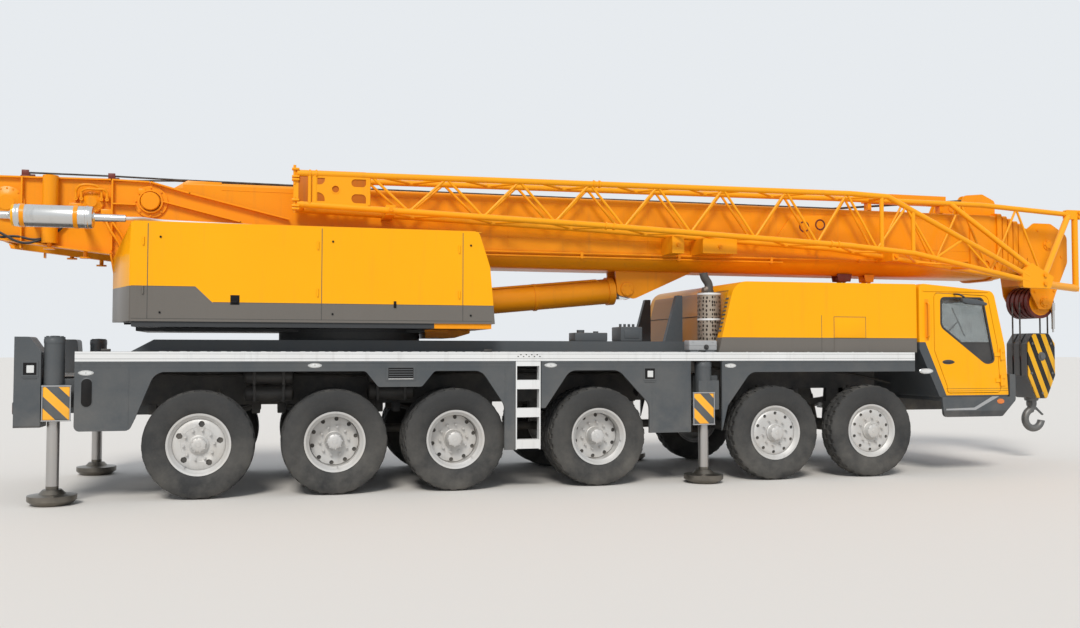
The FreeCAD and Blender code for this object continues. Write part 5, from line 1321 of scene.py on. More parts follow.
def addBedFlanges():
    # folded edges of the turntable's side plates and the boss of the boom foot
    bm = newBm()
    outer = (-0.665, -0.585)
    addStrip(bm, [(-5.8, 3.672), (-5.36, 3.556), (-4.2, 3.284)], 0.018, *outer)
    addStrip(bm, [(-6.22, 3.4), (-5.97, 3.398)], 0.016, *outer)
    addStrip(bm, [(-5.655, 3.445), (-4.77, 3.232), (-4.3, 3.02)], 0.016, *outer)
    addStrip(bm, [(-7.59, 3.672), (-6.24, 3.686), (-5.82, 3.676)], 0.018, -0.64, -0.5)
    addStrip(bm, [(-7.59, 2.962), (-6.24, 2.804), (-6.1, 2.05)], 0.02, -0.67, -0.585)
    for x in (-6.225, -7.2):
        addBox(bm, (x - 0.01, -0.66, 2.85), (x + 0.01, -0.585, 3.685), 0.003, 1)
    addBox(bm, (-6.2, -0.64, 2.42), (-5.97, -0.585, 2.44), 0.003, 1)
    addTurned(bm, [(-0.69, 0.0), (-0.69, 0.1), (-0.68, 0.108), (-0.622, 0.108), (-0.622, 0.0)], boomFoot,
              "Y", 36)
    addTurned(bm, [(-0.64, 0.118), (-0.655, 0.122), (-0.655, 0.14), (-0.61, 0.145), (-0.61, 0.118)],
              boomFoot, "Y", 40)
    addBox(bm, (-5.94, -0.652, 3.53), (-5.86, -0.61, 3.6), 0.01)
    x, _, z = boomFoot
    bolt = addRod(bm, (x + 0.168, -0.632, z), (x + 0.168, -0.61, z), 0.011, 6)
    addCopies(bm, bolt, aroundAxis(boomFoot, "Y", 8))
    flipY(bm)
    addPiece("bed_flanges", bm, "upper_works", "boomPaint")


def addWinchDetails():
    bm = newBm()
    # drives on the tail's side: housings, bolt circles, motors
    for x, z, size in ((-7.36, 3.38, 0.19), (-6.45, 3.42, 0.13)):
        addTurned(bm, [(-0.66, 0.0), (-0.66, size * 0.45), (-0.645, size * 0.55), (-0.635, size * 0.85),
                       (-0.625, size), (-0.588, size), (-0.588, 0.0)],
                  (x, 0, z), "Y", 40)
        bolt = addRod(bm, (x + size * 0.88, -0.642, z), (x + size * 0.88, -0.62, z), 0.011, 6)
        addCopies(bm, bolt, aroundAxis((x, 0, z), "Y", 16))
    for x in (-6.62, -6.56, -6.34, -6.28):
        addRod(bm, (x, -0.6, 3.45), (x, -0.67, 3.45), 0.022, 10)
        addRod(bm, (x, -0.66, 3.45), (x, -0.66, 3.53), 0.015, 10)
    addBox(bm, (-6.7, -0.65, 3.3), (-6.56, -0.588, 3.4), 0.01)
    addBox(bm, (-6.35, -0.66, 3.24), (-6.22, -0.588, 3.34), 0.012)
    flipY(bm)
    addPiece("winch_drives", bm, "upper_works", "boomPaint")
    bm = newBm()
    # drum grooves with the wound rope
    for x, z in ((-7.05, 3.3), (-6.45, 3.3)):
        profile = [(-0.404, 0.0)]
        for turn in range(36):
            y = -0.396 + turn * 0.022
            profile += [(y - 0.01, 0.205), (y, 0.216), (y + 0.01, 0.205)]
        profile.append((0.404, 0.0))
        addTurned(bm, profile, (x, 0, z), "Y", 40)
    addPiece("wound_rope", bm, "upper_works", "wireRope")
    bm = newBm()
    # rope guides on the tail
    for x, z in ((-7.19, 3.7), (-6.25, 3.7)):
        addBox(bm, (x - 0.05, -0.55, z), (x + 0.05, -0.2, z + 0.02), 0.004)
        for y in (-0.54, -0.22):
            addBox(bm, (x - 0.04, y - 0.008, z + 0.01), (x + 0.04, y + 0.008, z + 0.085), 0.006)
        addRod(bm, (x, -0.54, z + 0.055), (x, -0.22, z + 0.055), 0.02, 16)
    addPiece("rope_guides", bm, "upper_works", "sheaveRed")
    ropes = [
        [(-7.19, -0.37, 3.778), (-6.25, -0.37, 3.778), (-6.16, -0.37, 3.776)],
        [(-6.45, -0.3, 3.515), (-6.2, -0.31, 3.735), (-6.16, -0.31, 3.737)],
        [(-7.05, -0.37, 3.516), (-7.15, -0.37, 3.63), (-7.19, -0.37, 3.772)],
    ]
    addLine("winch_ropes", ropes, 0.011, "upper_works", "wireRope", smooth=False)


def addFootRopes():
    # the ropes over the boom foot, made as 24-point runs and turned into one mesh
    guide = bpy.data.curves.new("foot_ropes", "CURVE")
    guide.dimensions = "3D"
    guide.bevel_depth = 0.011
    guide.bevel_resolution = 2
    guide.use_fill_caps = True
    for y, low, high in ((-0.37, 3.776, 3.766), (-0.31, 3.737, 3.762)):
        spline = guide.splines.new("POLY")
        spline.points.add(23)
        for step, spot in enumerate(spline.points):
            spot.co = (-6.165 + 0.605 * step / 23, y, low + (high - low) * step / 23, 1)
    holder = bpy.data.objects.new("foot_rope_guide", guide)
    scene.collection.objects.link(holder)
    view = bpy.context.evaluated_depsgraph_get()
    mesh = bpy.data.meshes.new_from_object(holder.evaluated_get(view), depsgraph=view)
    bpy.data.objects.remove(holder)
    mesh.materials.clear()
    mesh.materials.append(finish["wireRope"])
    bridge = bpy.data.objects.new("foot_ropes", mesh)
    scene.collection.objects.link(bridge)
    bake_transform(bridge)


def addTailLines():
    hoses = [
        [(-7.58, -0.63, 3.02), (-7.45, -0.66, 2.96), (-7.25, -0.65, 3.0), (-7.05, -0.64, 2.94),
         (-6.95, -0.63, 2.98)],
        [(-7.56, -0.66, 3.1), (-7.4, -0.7, 3.02), (-7.2, -0.68, 2.9), (-7.02, -0.66, 2.93),
         (-6.8, -0.63, 3.05), (-6.65, -0.62, 3.25)],
    ]
    addLine("tail_hoses", hoses, 0.015, "upper_works", "hoseRubber")
    pipes = [
        [(-6.62, -0.66, 3.53), (-6.6, -0.69, 3.6), (-6.48, -0.69, 3.62), (-6.36, -0.68, 3.6),
         (-6.34, -0.66, 3.53)],
        [(-6.56, -0.66, 3.53), (-6.52, -0.7, 3.57), (-6.4, -0.69, 3.56), (-6.3, -0.68, 3.57),
         (-6.28, -0.66, 3.53)],
        [(-6.28, -0.64, 3.3), (-6.2, -0.68, 3.16), (-6.12, -0.66, 3.05), (-6.05, -0.63, 2.9),
         (-6.02, -0.62, 2.7)],
        [(-6.32, -0.64, 3.28), (-6.26, -0.7, 3.12), (-6.16, -0.69, 2.98), (-6.08, -0.64, 2.82),
         (-6.05, -0.62, 2.62)],
    ]
    addLine("tail_lines", pipes, 0.015, "upper_works", "boomPaint")
    feeds = [[(-3.3, -0.26, 2.02), (-3.1, -0.28, 2.18), (-2.8, -0.26, 2.22), (-2.4, -0.22, 2.3),
              (-2.2, -0.21, 2.34)]]
    addLine("bed_hoses", feeds, 0.017, "upper_works", "hoseRubber")


def makeWireRope():
    material, tree, shader = newMaterial("wireRope")
    place = placeOf(tree)
    wave = addNode(tree, "TexWave", {"wave_type": "BANDS", "bands_direction": "DIAGONAL"},
                   {"Scale": 60.0, "Distortion": 0.2})
    tree.links.new(place, wave.inputs["Vector"])
    grease = rampOf(tree, noiseOf(tree, place, 9, 4), 0.4, 0.7)
    base = mixColour(tree, wave.outputs["Fac"], (0.055, 0.052, 0.05, 1), (0.2, 0.195, 0.19, 1))
    tree.links.new(mixColour(tree, grease, base, (0.05, 0.043, 0.035, 1)), shader.inputs["Base Color"])
    shader.inputs["Metallic"].default_value = 0.7
    shader.inputs["Roughness"].default_value = 0.48
    addBump(tree, shader, wave.outputs["Fac"], 0.8, 0.002)
    finish["wireRope"] = material


def addBoomDetails():
    bm = newBm()
    side = -0.48
    addBox(bm, (-5.4, side - 0.0035, 3.17), (5.69, side + 0.002, 3.182), 0.0015, 1)
    addBox(bm, (-5.0, side - 0.004, 3.64), (5.69, side + 0.002, 3.652), 0.0015, 1)
    for x in (-1.388, 0.577, 2.4):
        addBox(bm, (x - 0.006, side - 0.0035, 3.05), (x + 0.006, side + 0.002, 3.7), 0.0015, 1)
    flipY(bm)
    addPlate(bm, [(2.42, 3.17), (2.74, 3.6), (3.42, 3.63), (3.47, 3.2)], side - 0.02, side + 0.002,
             bevel=0.003)
    # the raised rear end of the base section
    addPlate(bm, [(-5.6, 3.56), (-5.6, 3.622), (-5.4, 3.748), (-5.0, 3.742), (-5.0, 3.56)], -0.474, 0.474,
             bevel=0.006)
    for x in (-3.2, -0.4, 1.6, 4.6):
        addBox(bm, (x, -0.46, 3.728), (x + 0.012, 0.46, 3.742), 0.002, 1)
    addPiece("boom_welds", bm, "boom_base", "boomPaint")
    bm = newBm()
    for x, z in ((2.94, 3.451), (3.195, 3.487)):
        addTurned(bm, [(side - 0.012, 0.0), (side - 0.021, 0.066), (side - 0.026, 0.07),
                       (side - 0.026, 0.078), (side - 0.018, 0.082),
                       (side + 0.001, 0.082), (side + 0.001, 0.0)],
                  (x, 0, z), "Y", 28)
    addPiece("plate_eyes", bm, "boom_base", "sheaveRed")
    # rope support rollers below the boom
    for end, x, wide, label in (("rear", 3.668, 0.12, "sheaveRed"), ("front", 4.078, 0.08, "boomPaint")):
        bm = newBm()
        for y in (-0.36, -0.2):
            addPlate(bm, [(x - wide, 2.8), (x + wide, 2.8), (x + wide * 0.8, 2.69), (x - wide * 0.8, 2.69)],
                     y, y + 0.02, bevel=0.003)
        addTurned(bm, [(-0.345, 0.0), (-0.345, 0.06), (-0.33, 0.066), (-0.31, 0.045), (-0.23, 0.045),
                       (-0.21, 0.066), (-0.195, 0.06), (-0.195, 0.0)],
                  (x, 0, 2.735), "Y", 24)
        addPiece("boom_roller_" + end, bm, "boom_base", label)
    bm = newBm()
    x, y, z = luffEye
    for sign in (-1, 1):
        cap = [(0.198, 0.0), (0.198, 0.095), (0.219, 0.095), (0.225, 0.088), (0.225, 0.0)]
        addTurned(bm, [(a * sign, b) for a, b in cap], luffEye, "Y", 32)
        bolt = addRod(bm, (x + 0.065, 0.215 * sign, z), (x + 0.065, 0.236 * sign, z), 0.01, 6)
        addCopies(bm, bolt, aroundAxis(luffEye, "Y", 6))
    addPiece("luff_pin_caps", bm, "boom_base", "boomPaint")
    lines = [
        [(-4.9, -0.5, 2.98), (-2.0, -0.5, 2.98), (0.5, -0.5, 2.98), (3.0, -0.5, 2.985), (5.2, -0.5, 2.99),
         (5.66, -0.49, 3.02)],
        [(-4.9, -0.5, 2.93), (-2.0, -0.5, 2.93), (0.5, -0.5, 2.93), (2.6, -0.5, 2.93)],
    ]
    addLine("boom_pipes", lines, 0.014, "boom_base", "boomPaint", smooth=False)
    bm = newBm()
    for x in (-4.6, -3.2, -1.8, -0.4, 1.0, 2.4):
        addBox(bm, (x, -0.519, 2.91), (x + 0.04, -0.47, 3.0), 0.004, 1)
    for x in (3.8, 5.1):
        addBox(bm, (x, -0.519, 2.96), (x + 0.04, -0.47, 3.01), 0.004, 1)
    addPiece("pipe_clamps", bm, "boom_base", "boomPaint")
    ropes = [[(-5.57, -0.37, 3.766), (-3.0, -0.36, 3.752), (0.0, -0.34, 3.752), (3.5, -0.32, 3.76),
              (5.95, -0.3, 3.985)],
             [(-5.57, -0.31, 3.762), (-3.0, -0.3, 3.75), (0.0, -0.28, 3.748), (3.5, -0.27, 3.755),
              (5.95, -0.27, 3.98)]]
    addLine("boom_ropes", ropes, 0.011, "boom_base", "wireRope", smooth=False)


def addHeadDetails():
    # grooved rims, hubs and cheek bolts of the head sheaves
    bm = newBm()
    for x, z in headSheaves:
        for y in (-0.23, -0.13, -0.03, 0.07, 0.17):
            addTurned(bm, [
                (y - 0.004, 0.0), (y - 0.004, 0.07), (y + 0.004, 0.078), (y + 0.006, 0.19),
                (y - 0.001, 0.205), (y - 0.001, 0.2495),
                (y + 0.008, 0.2495), (y + 0.03, 0.247), (y + 0.052, 0.2495), (y + 0.061, 0.2495),
                (y + 0.061, 0.205), (y + 0.054, 0.19),
                (y + 0.056, 0.078), (y + 0.064, 0.07), (y + 0.064, 0.0),
            ], (x, 0, z), "Y", 48)
    addPiece("head_sheaves", bm, "boom_section_6", "sheaveRed")
    bm = newBm()
    for x, z in headSheaves:
        for sign in (-1, 1):
            face = 0.317 * sign
            addTurned(bm, [(face - 0.002 * sign, 0.0), (face - 0.002 * sign, 0.085),
                           (face + 0.012 * sign, 0.082), (face + 0.016 * sign, 0.06),
                           (face + 0.03 * sign, 0.055), (face + 0.032 * sign, 0.0)], (x, 0, z), "Y", 28)
            bolt = addRod(bm, (x + 0.068, face, z), (x + 0.068, face + 0.026 * sign, z), 0.01, 6)
            addCopies(bm, bolt, aroundAxis((x, 0, z), "Y", 6))
    for sign in (-1, 1):
        for x, z in ((6.99, 2.6), (7.34, 2.62), (7.49, 3.15), (7.49, 3.42), (7.06, 3.55)):
            addRod(bm, (x, 0.316 * sign, z), (x, 0.33 * sign, z), 0.018, 8)
    addPiece("head_caps", bm, "boom_section_6", "boomPaint")


hookBits = {"axle": (7.165, 0, 1.6), "fall": 0.2563, "ropes": (-0.08, 0.08)}


def addHookDetails():
    middle, top = hookBits["axle"][0], headSheaves[0][1]
    bm = newBm()
    outline = [(-0.25, 1.303), (-0.094, 0.957), (0.094, 0.957), (0.25, 1.303), (0.25, 1.8), (0.145, 1.948),
               (-0.145, 1.948), (-0.25, 1.8)]
    for low, high in ((-0.236, -0.214), (0.214, 0.236)):
        addPlate(bm, [(middle + a, b) for a, b in outline], low, high, bevel=0.008)
    addPiece("hook_cheeks", bm, "hook_block", "hookStripes")
    bm = newBm()
    for sign in (-1, 1):
        addTurned(bm, [(0.23 * sign, 0.0), (0.23 * sign, 0.07), (0.246 * sign, 0.066), (0.25 * sign, 0.045),
                       (0.262 * sign, 0.042), (0.264 * sign, 0.0)],
                  hookBits["axle"], "Y", 28)
        for x, z in ((-0.17, 1.8), (0.17, 1.8), (-0.19, 1.34), (0.19, 1.34), (0, 1.03)):
            addRod(bm, (middle + x, 0.23 * sign, z), (middle + x, 0.248 * sign, z), 0.02, 6)
    addTurned(bm, [(0.905, 0.062), (0.905, 0.095), (0.93, 0.105), (0.96, 0.105), (0.96, 0.062)],
              (middle, 0, 0), "Z", 32)
    addTurned(bm, [(0.82, 0.061), (0.82, 0.074), (0.85, 0.08), (0.905, 0.08), (0.905, 0.061)],
              (middle, 0, 0), "Z", 6)
    # safety latch across the hook's mouth
    addPlate(bm, [(7.21, 0.8), (7.24, 0.812), (7.378, 0.69), (7.365, 0.672)], -0.018, 0.018, bevel=0.004)
    addRod(bm, (7.222, -0.03, 0.803), (7.222, 0.03, 0.803), 0.014, 12)
    addPiece("hook_fittings", bm, "hook_block", "hookSteel")
    bm = newBm()
    for y in hookBits["ropes"]:
        addTurned(bm, [(y - 0.0155, 0.0), (y - 0.0155, 0.246), (y - 0.01, 0.2485), (y, 0.2465),
                       (y + 0.01, 0.2485), (y + 0.0155, 0.246), (y + 0.0155, 0.0)],
                  hookBits["axle"], "Y", 44)
    addPiece("hook_sheaves", bm, "hook_block", "sheaveRed")
    bm = newBm()
    for x in (middle - hookBits["fall"], middle + hookBits["fall"]):
        for y in hookBits["ropes"]:
            addRod(bm, (x, y, 1.6), (x, y, top), 0.0125, 12)
    addPiece("rope_falls", bm, "hook_block", "wireRope")
    bm = newBm()
    # the rope's fixed end: its socket hangs from the head
    addTurned(bm, [(1.975, 0.0), (1.975, 0.013), (2.02, 0.013), (2.03, 0.026), (2.3, 0.026), (2.33, 0.034),
                   (2.43, 0.034), (2.44, 0.0)],
              (7.36, -0.268, 0), "Z", 20)
    addPiece("rope_socket", bm, "boom_section_6", "aluminium")


def addPierced(bm, outer, holes, low, high, index=0):
    # a flat XZ plate with holes, between two Y levels
    before, edges = set(bm.faces), []
    for loop in [outer] + holes:
        verts = [bm.verts.new((x, low, z)) for x, z in loop]
        edges += [bm.edges.new((a, b)) for a, b in zip(verts, verts[1:] + verts[:1])]
    bmesh.ops.triangle_fill(bm, use_beauty=True, edges=edges, normal=(0, -1, 0))
    flat = [f for f in bm.faces if f not in before]
    grown = bmesh.ops.extrude_face_region(bm, geom=flat)["geom"]
    bmesh.ops.translate(bm, vec=(0, high - low, 0), verts=vertsIn(grown))
    faces = [f for f in bm.faces if f not in before]
    bmesh.ops.recalc_face_normals(bm, faces=faces)
    for face in faces:
        face.material_index = index


def roundLoop(low, high, radii, steps=6):
    # a rectangle's outline, its corners rounded from the lower left one on
    (ax, az), (bx, bz) = low, high
    corners = [(ax, az, 1, 1, 180), (bx, az, -1, 1, 270), (bx, bz, -1, -1, 0), (ax, bz, 1, -1, 90)]
    points = []
    for (x, z, sx, sz, begin), radius in zip(corners, radii):
        if radius == 0:
            points.append((x, z))
            continue
        for step in range(steps + 1):
            angle = math.radians(begin + 90 * step / steps)
            points.append((x + sx * radius + radius * math.cos(angle),
                           z + sz * radius + radius * math.sin(angle)))
    return points


def roundHole(x, z, radius, count=20):
    turns = [math.tau * step / count for step in range(count)]
    return [(x + radius * math.cos(turn), z + radius * math.sin(turn)) for turn in turns]


def addJibPlate():
    # the near side's end plate with its four openings and pin hole, over a darker back plate whose colour is
    # painted shade: the boom in shadow seen through the openings
    bm = newBm()
    ring, wide = roundHole(-3.662, 3.612, 0.042), roundHole(-3.662, 3.612, 0.056)
    holes = [
        roundLoop((-3.915, 3.662), (-3.789, 3.742), (0, 0.06, 0, 0)),
        roundLoop((-3.915, 3.462), (-3.789, 3.567), (0, 0, 0.08, 0)),
        roundLoop((-3.474, 3.649), (-3.3, 3.742), (0.044, 0.044, 0, 0.044)),
        roundLoop((-3.473, 3.452), (-3.3, 3.561), (0.052, 0, 0.052, 0.052)), ring,
    ]
    addPierced(bm, [(-3.935, 3.44), (-3.25, 3.42), (-3.25, 3.765), (-3.935, 3.765)], holes, -1.124, -1.113)
    addPierced(bm, wide, [ring], -1.129, -1.1235)
    for x, radius in ((-3.965, 0.022), (-3.262, 0.018)):
        addRod(bm, (x, -1.118, 3.43), (x, -1.118, 3.76), radius, 14)
    for low, high, lugs in ((3.655, 3.885, (3.7, 3.735, 3.825)), (3.32, 3.5, (3.35, 3.385, 3.455))):
        addRod(bm, (-4.14, -1.1, low), (-4.14, -1.1, high), 0.017, 12)
        for z in lugs:
            addPlate(bm, [(-4.172, -1.14), (-4.085, -1.14), (-4.085, -1.06), (-4.172, -1.06)], z, z + 0.024,
                     plane="xy", bevel=0.004)
    addPiece("jib_end_plate", bm, "boom_base", "jibPaint")
    bm = newBm()
    # back plate in darker orange: painted shade behind the openings
    addPlate(bm, [(-4.095, 3.445), (-3.25, 3.425), (-3.25, 3.765), (-4.095, 3.765)], -1.1128, -1.1085,
             bevel=0.001)
    addPiece("jib_end_shade_back", bm, "boom_base", "jibShade")


def addJibDetails():
    bm = newBm()
    top = ((-4.11, -1.1, 3.79), (3.31, -1.1, 3.85))
    low = ((-0.31, -1.1, 3.29), (3.3, -1.1, 3.13))
    for (a, b), places in ((top, (0.02, 0.03, 0.5, 0.51)), (low, (0.02, 0.05, 0.92, 0.95))):
        a, b = Vector(a), Vector(b)
        along = (b - a).normalized()
        for place in places:
            spot = a.lerp(b, place)
            addRod(bm, spot - along * 0.01, spot + along * 0.01, 0.05, 20)
    addPiece("jib_collars", bm, "boom_base", "jibPaint")
    bm = newBm()
    for x, z in ((-4.125, 3.79), (-4.115, 3.42)):
        addRod(bm, (x, -0.685, z), (x, -0.595, z), 0.034, 16)
        addRod(bm, (x, -0.702, z), (x, -0.685, z), 0.018, 6)
    for x, z in ((-3.0, 3.39), (0.845, 3.09), (1.45, 3.08), (4.15, 3.02)):
        addRod(bm, (x, -1.16 if x < 0 else -0.93, z), (x, -0.5, z), 0.026, 14)
    for z in (2.66, 2.78):
        addRod(bm, (6.46, -1.16, z), (6.46, -1.04, z), 0.028, 16)
    for z in (3.79, 3.72):
        addRod(bm, (7.5, -0.7, z), (7.5, -0.58, z), 0.024, 16)
    addPiece("jib_pins", bm, "boom_base", "boomPaint")


def addLuffDetails():
    # pipes clipped along the luffing cylinder and its gland ring
    base, eye = Vector((-3.7, 0, 2.14)), Vector(luffEye)
    along = (eye - base).normalized()
    up = Vector((-along.z, 0, along.x))
    length = (eye - base).length
    runs = []
    for y, lift in ((-0.1, 0.165), (0.1, 0.165)):
        a = base + along * 0.75 + up * lift + Vector((0, y, 0))
        b = base + along * (length - 0.42) + up * lift + Vector((0, y, 0))
        runs.append([tuple(a), tuple(a.lerp(b, 0.5)), tuple(b), tuple(b + along * 0.05 - up * 0.02)])
    addLine("luff_pipes", runs, 0.015, "luff_barrel", "boomPaint", smooth=False)
    bm = newBm()
    for place in (1.0, 1.9, 2.8):
        spot = base + along * place
        addRod(bm, spot - along * 0.02, spot + along * 0.02, 0.187, 40)
    gland = base + along * (length - 0.165)
    for step in range(12):
        angle = math.tau * step / 12
        out = up * math.cos(angle) * 0.165 + Vector((0, math.sin(angle) * 0.165, 0))
        addRod(bm, gland + out, gland + out + along * 0.022, 0.013, 6)
    addPiece("luff_bands", bm, "luff_barrel", "boomPaint")


def addStationDetails():
    # operator's cab on the left: screens, seals, handles, lamps
    bm = newBm()
    addPlate(bm, [(-1.745, 2.56), (-1.755, 2.56), (-1.955, 3.08), (-1.945, 3.08)], 0.735, 1.365)
    addPlate(bm, [(-1.592, 2.15), (-1.6, 2.15), (-1.6, 2.45), (-1.592, 2.45)], 0.735, 1.365)
    addPiece("station_screens", bm, "upper_works", "cabGlass")
    bm = newBm()
    addFrame(bm, [(-2.88, 3.13), (-2.19, 3.13), (-2.19, 2.5), (-2.88, 2.5)], 0.012, 0.026, 1.434, 1.446, 0.04)
    addPiece("station_seal", bm, "operator_door", "blackPlastic")
    bm = newBm()
    addBox(bm, (-2.24, 1.438, 2.28), (-2.15, 1.452, 2.36), 0.004)
    addBox(bm, (-2.235, 1.45, 2.31), (-2.165, 1.47, 2.33), 0.006)
    addPiece("station_handle", bm, "operator_door", "blackPlastic")
    bar = [(1.43, 2.35), (1.5, 2.36), (1.51, 2.5), (1.51, 2.85), (1.5, 2.98), (1.43, 3.0)]
    runs = [[(x, y, z) for y, z in bar] for x in (-3.06, -2.04)]
    addLine("station_bars", runs, 0.014, "upper_works", "blackPlastic")
    bm = newBm()
    for y in (0.86, 1.24):
        addTurned(bm, [(-1.905, 0.0), (-1.905, 0.06), (-1.86, 0.065), (-1.845, 0.06), (-1.845, 0.0)],
                  (0, y, 3.2), "X", 24)
    addPiece("work_lamps", bm, "upper_works", "clearLens")


makeWireRope()
addCoverDetails()
addCoverCorner()
addBedFlanges()
addWinchDetails()
addFootRopes()
addTailLines()
addBoomDetails()
addHeadDetails()
addHookDetails()
addJibDetails()
addJibPlate()
addLuffDetails()
addStationDetails()
print("upper works, boom and hook details made")


# seats, dashboard and soft pieces
def makeSeatCloth():
    material, tree, shader = newMaterial("seatCloth")
    place = placeOf(tree)
    across = addNode(tree, "TexWave", {"wave_type": "BANDS", "bands_direction": "X"},
                     {"Scale": 95.0, "Distortion": 0.4, "Detail": 1.0})
    along = addNode(tree, "TexWave", {"wave_type": "BANDS", "bands_direction": "Y"},
                    {"Scale": 95.0, "Distortion": 0.4, "Detail": 1.0})
    tree.links.new(place, across.inputs["Vector"])
    tree.links.new(place, along.inputs["Vector"])
    weave = doMath(tree, "MULTIPLY", across.outputs["Fac"], along.outputs["Fac"])
    worn = rampOf(tree, noiseOf(tree, place, 6, 4), 0.4, 0.75)
    base = mixColour(tree, weave, (0.03, 0.034, 0.042, 1), (0.075, 0.082, 0.095, 1))
    tree.links.new(mixColour(tree, worn, base, (0.085, 0.083, 0.08, 1)), shader.inputs["Base Color"])
    shader.inputs["Roughness"].default_value = 0.88
    shader.inputs["Sheen Weight"].default_value = 0.35
    shader.inputs["Specular IOR Level"].default_value = 0.2
    addBump(tree, shader, weave, 0.35, 0.0015)
    finish["seatCloth"] = material


def swell(name, outline, low, high):
    # a foam block, remeshed and blown up a little as cloth, no point moving over 14 mm
    bm = newBm()
    addPlate(bm, outline, low, high, bevel=0.028)
    mesh = bpy.data.meshes.new(name)
    bm.to_mesh(mesh)
    bm.free()
    piece = bpy.data.objects.new(name, mesh)
    scene.collection.objects.link(piece)
    grid = piece.modifiers.new("grid", "REMESH")
    grid.mode, grid.voxel_size = "VOXEL", 0.01
    view = bpy.context.evaluated_depsgraph_get()
    even = bpy.data.meshes.new_from_object(piece.evaluated_get(view), depsgraph=view)
    piece.modifiers.remove(grid)
    piece.data = even
    start = [v.co.copy() for v in even.vertices]
    cloth = piece.modifiers.new("air", "CLOTH")
    settings = cloth.settings
    settings.quality, settings.mass = 5, 0.3
    settings.use_pressure, settings.uniform_pressure_force = True, 4.0
    settings.effector_weights.gravity = 0
    for step in range(1, 21):
        scene.frame_set(step)
    view = bpy.context.evaluated_depsgraph_get()
    blown = bpy.data.meshes.new_from_object(piece.evaluated_get(view), depsgraph=view)
    piece.modifiers.remove(cloth)
    scene.frame_set(1)
    ends = [v.co.copy() for v in blown.vertices]
    moved = []
    for a, b in zip(start, ends):
        step = b - a
        moved.append(a + step * min(1.0, 0.014 / max(step.length, 1e-6)))
    bpy.data.objects.remove(piece)
    return even, moved


def addCushion(name, outline, low, high, face, channels, rest, body, stands, mirror=False):
    # channels: (axis, place) lines sewn into the side that faces along face
    # rest: (axis, sign, level) where it lies flat
    mesh, points = swell(name, outline, low, high)
    normals = [v.normal.copy() for v in mesh.vertices]
    out = Vector(face)
    for i, point in enumerate(points):
        front = normals[i].dot(out)
        if front > 0.35:
            sink = sum(0.0085 * math.exp(-((point["xyz".index(axis)] - at) / 0.009) ** 2) for axis,
                       at in channels)
            point -= out * min(sink, 0.01)
        axis, sign, level = rest
        if (point[axis] - level) * sign < 0.002:
            point[axis] = level
    for vert, point in zip(mesh.vertices, points):
        vert.co = point
    for flip in (False, True) if mirror else (False,):
        bm = newBm()
        bm.from_mesh(mesh)
        if flip:
            turnOver(bm)
        bmesh.ops.recalc_face_normals(bm, faces=bm.faces)
        label = name + ("_right" if not flip else "_left") if mirror else name
        piece = addPiece(label, bm, body, "seatCloth", stands, limit=80)


def addSeatFrame(bm, x, y, low, pan, lean):
    # floor rails, bellows, pan, side levers and the shell behind the back cushion
    for side in (-0.17, 0.17):
        addBox(bm, (x - 0.24, y + side - 0.02, low), (x + 0.24, y + side + 0.02, low + 0.025), 0.004)
    addBox(bm, (x - 0.22, y - 0.2, low + 0.025), (x + 0.22, y + 0.2, low + 0.05), 0.008)
    rings = []
    count = 5
    for fold in range(count * 2 + 1):
        z = low + 0.05 + (pan - low - 0.075) * fold / (count * 2)
        grow = 0.014 if fold % 2 else 0.0
        half, deep = 0.185 + grow, 0.165 + grow
        rings.append([bm.verts.new((x + a * half, y + b * deep, z)) for a, b in
                      ((-1, -0.85), (-0.85, -1), (0.85, -1), (1, -0.85), (1, 0.85), (0.85, 1), (-0.85, 1),
                       (-1, 0.85))])
    faces = []
    for lower, upper in zip(rings, rings[1:]):
        faces += [bm.faces.new((lower[i], lower[(i + 1) % 8], upper[(i + 1) % 8], upper[i]))
                  for i in range(8)]
    faces += [bm.faces.new(rings[0]), bm.faces.new(rings[-1])]
    bmesh.ops.recalc_face_normals(bm, faces=faces)
    addBox(bm, (x - 0.25, y - 0.22, pan - 0.025), (x + 0.25, y + 0.22, pan), 0.01)
    for side in (-0.235, 0.235):
        addRod(bm, (x + 0.02, y + side, pan - 0.03), (x + 0.2, y + side, pan - 0.02), 0.009, 10)
        addBox(bm, (x + 0.18, y + side - 0.014, pan - 0.032), (x + 0.25, y + side + 0.014, pan - 0.01), 0.006)
    (ax, az), (bx, bz) = lean
    addPlate(bm, [(ax - 0.004, az), (ax + 0.01, az), (bx + 0.01, bz), (bx - 0.004, bz)], y - 0.205,
             y + 0.205, bevel=0.003)


def addDrivingSeats():
    middle = -0.68
    frames = newBm()
    addSeatFrame(frames, 4.7, middle, 1.09, 1.352, ((4.378, 1.4), (4.34, 2.1)))
    flipY(frames)
    addPiece("seat_frames", frames, "carrier", "blackPlastic", ("cab_interior",))
    addCushion("seat_cushion", [(4.46, 1.366), (4.95, 1.366), (4.962, 1.468), (4.46, 1.458)], -0.915,
               -0.445, (0, 0, 1),
               [("y", middle - 0.13), ("y", middle + 0.13), ("x", 4.6), ("x", 4.78)], (2, 1, 1.353),
               "carrier", ("cab_interior",), True)
    addCushion("seat_back", [(4.402, 1.492), (4.5, 1.488), (4.446, 2.132), (4.362, 2.132)], -0.91, -0.45,
               (1, 0, 0.08),
               [("y", middle - 0.13), ("y", middle + 0.13), ("z", 1.66), ("z", 1.86), ("z", 2.0)],
               (0, 1, 4.33), "carrier", ("cab_interior",), True)


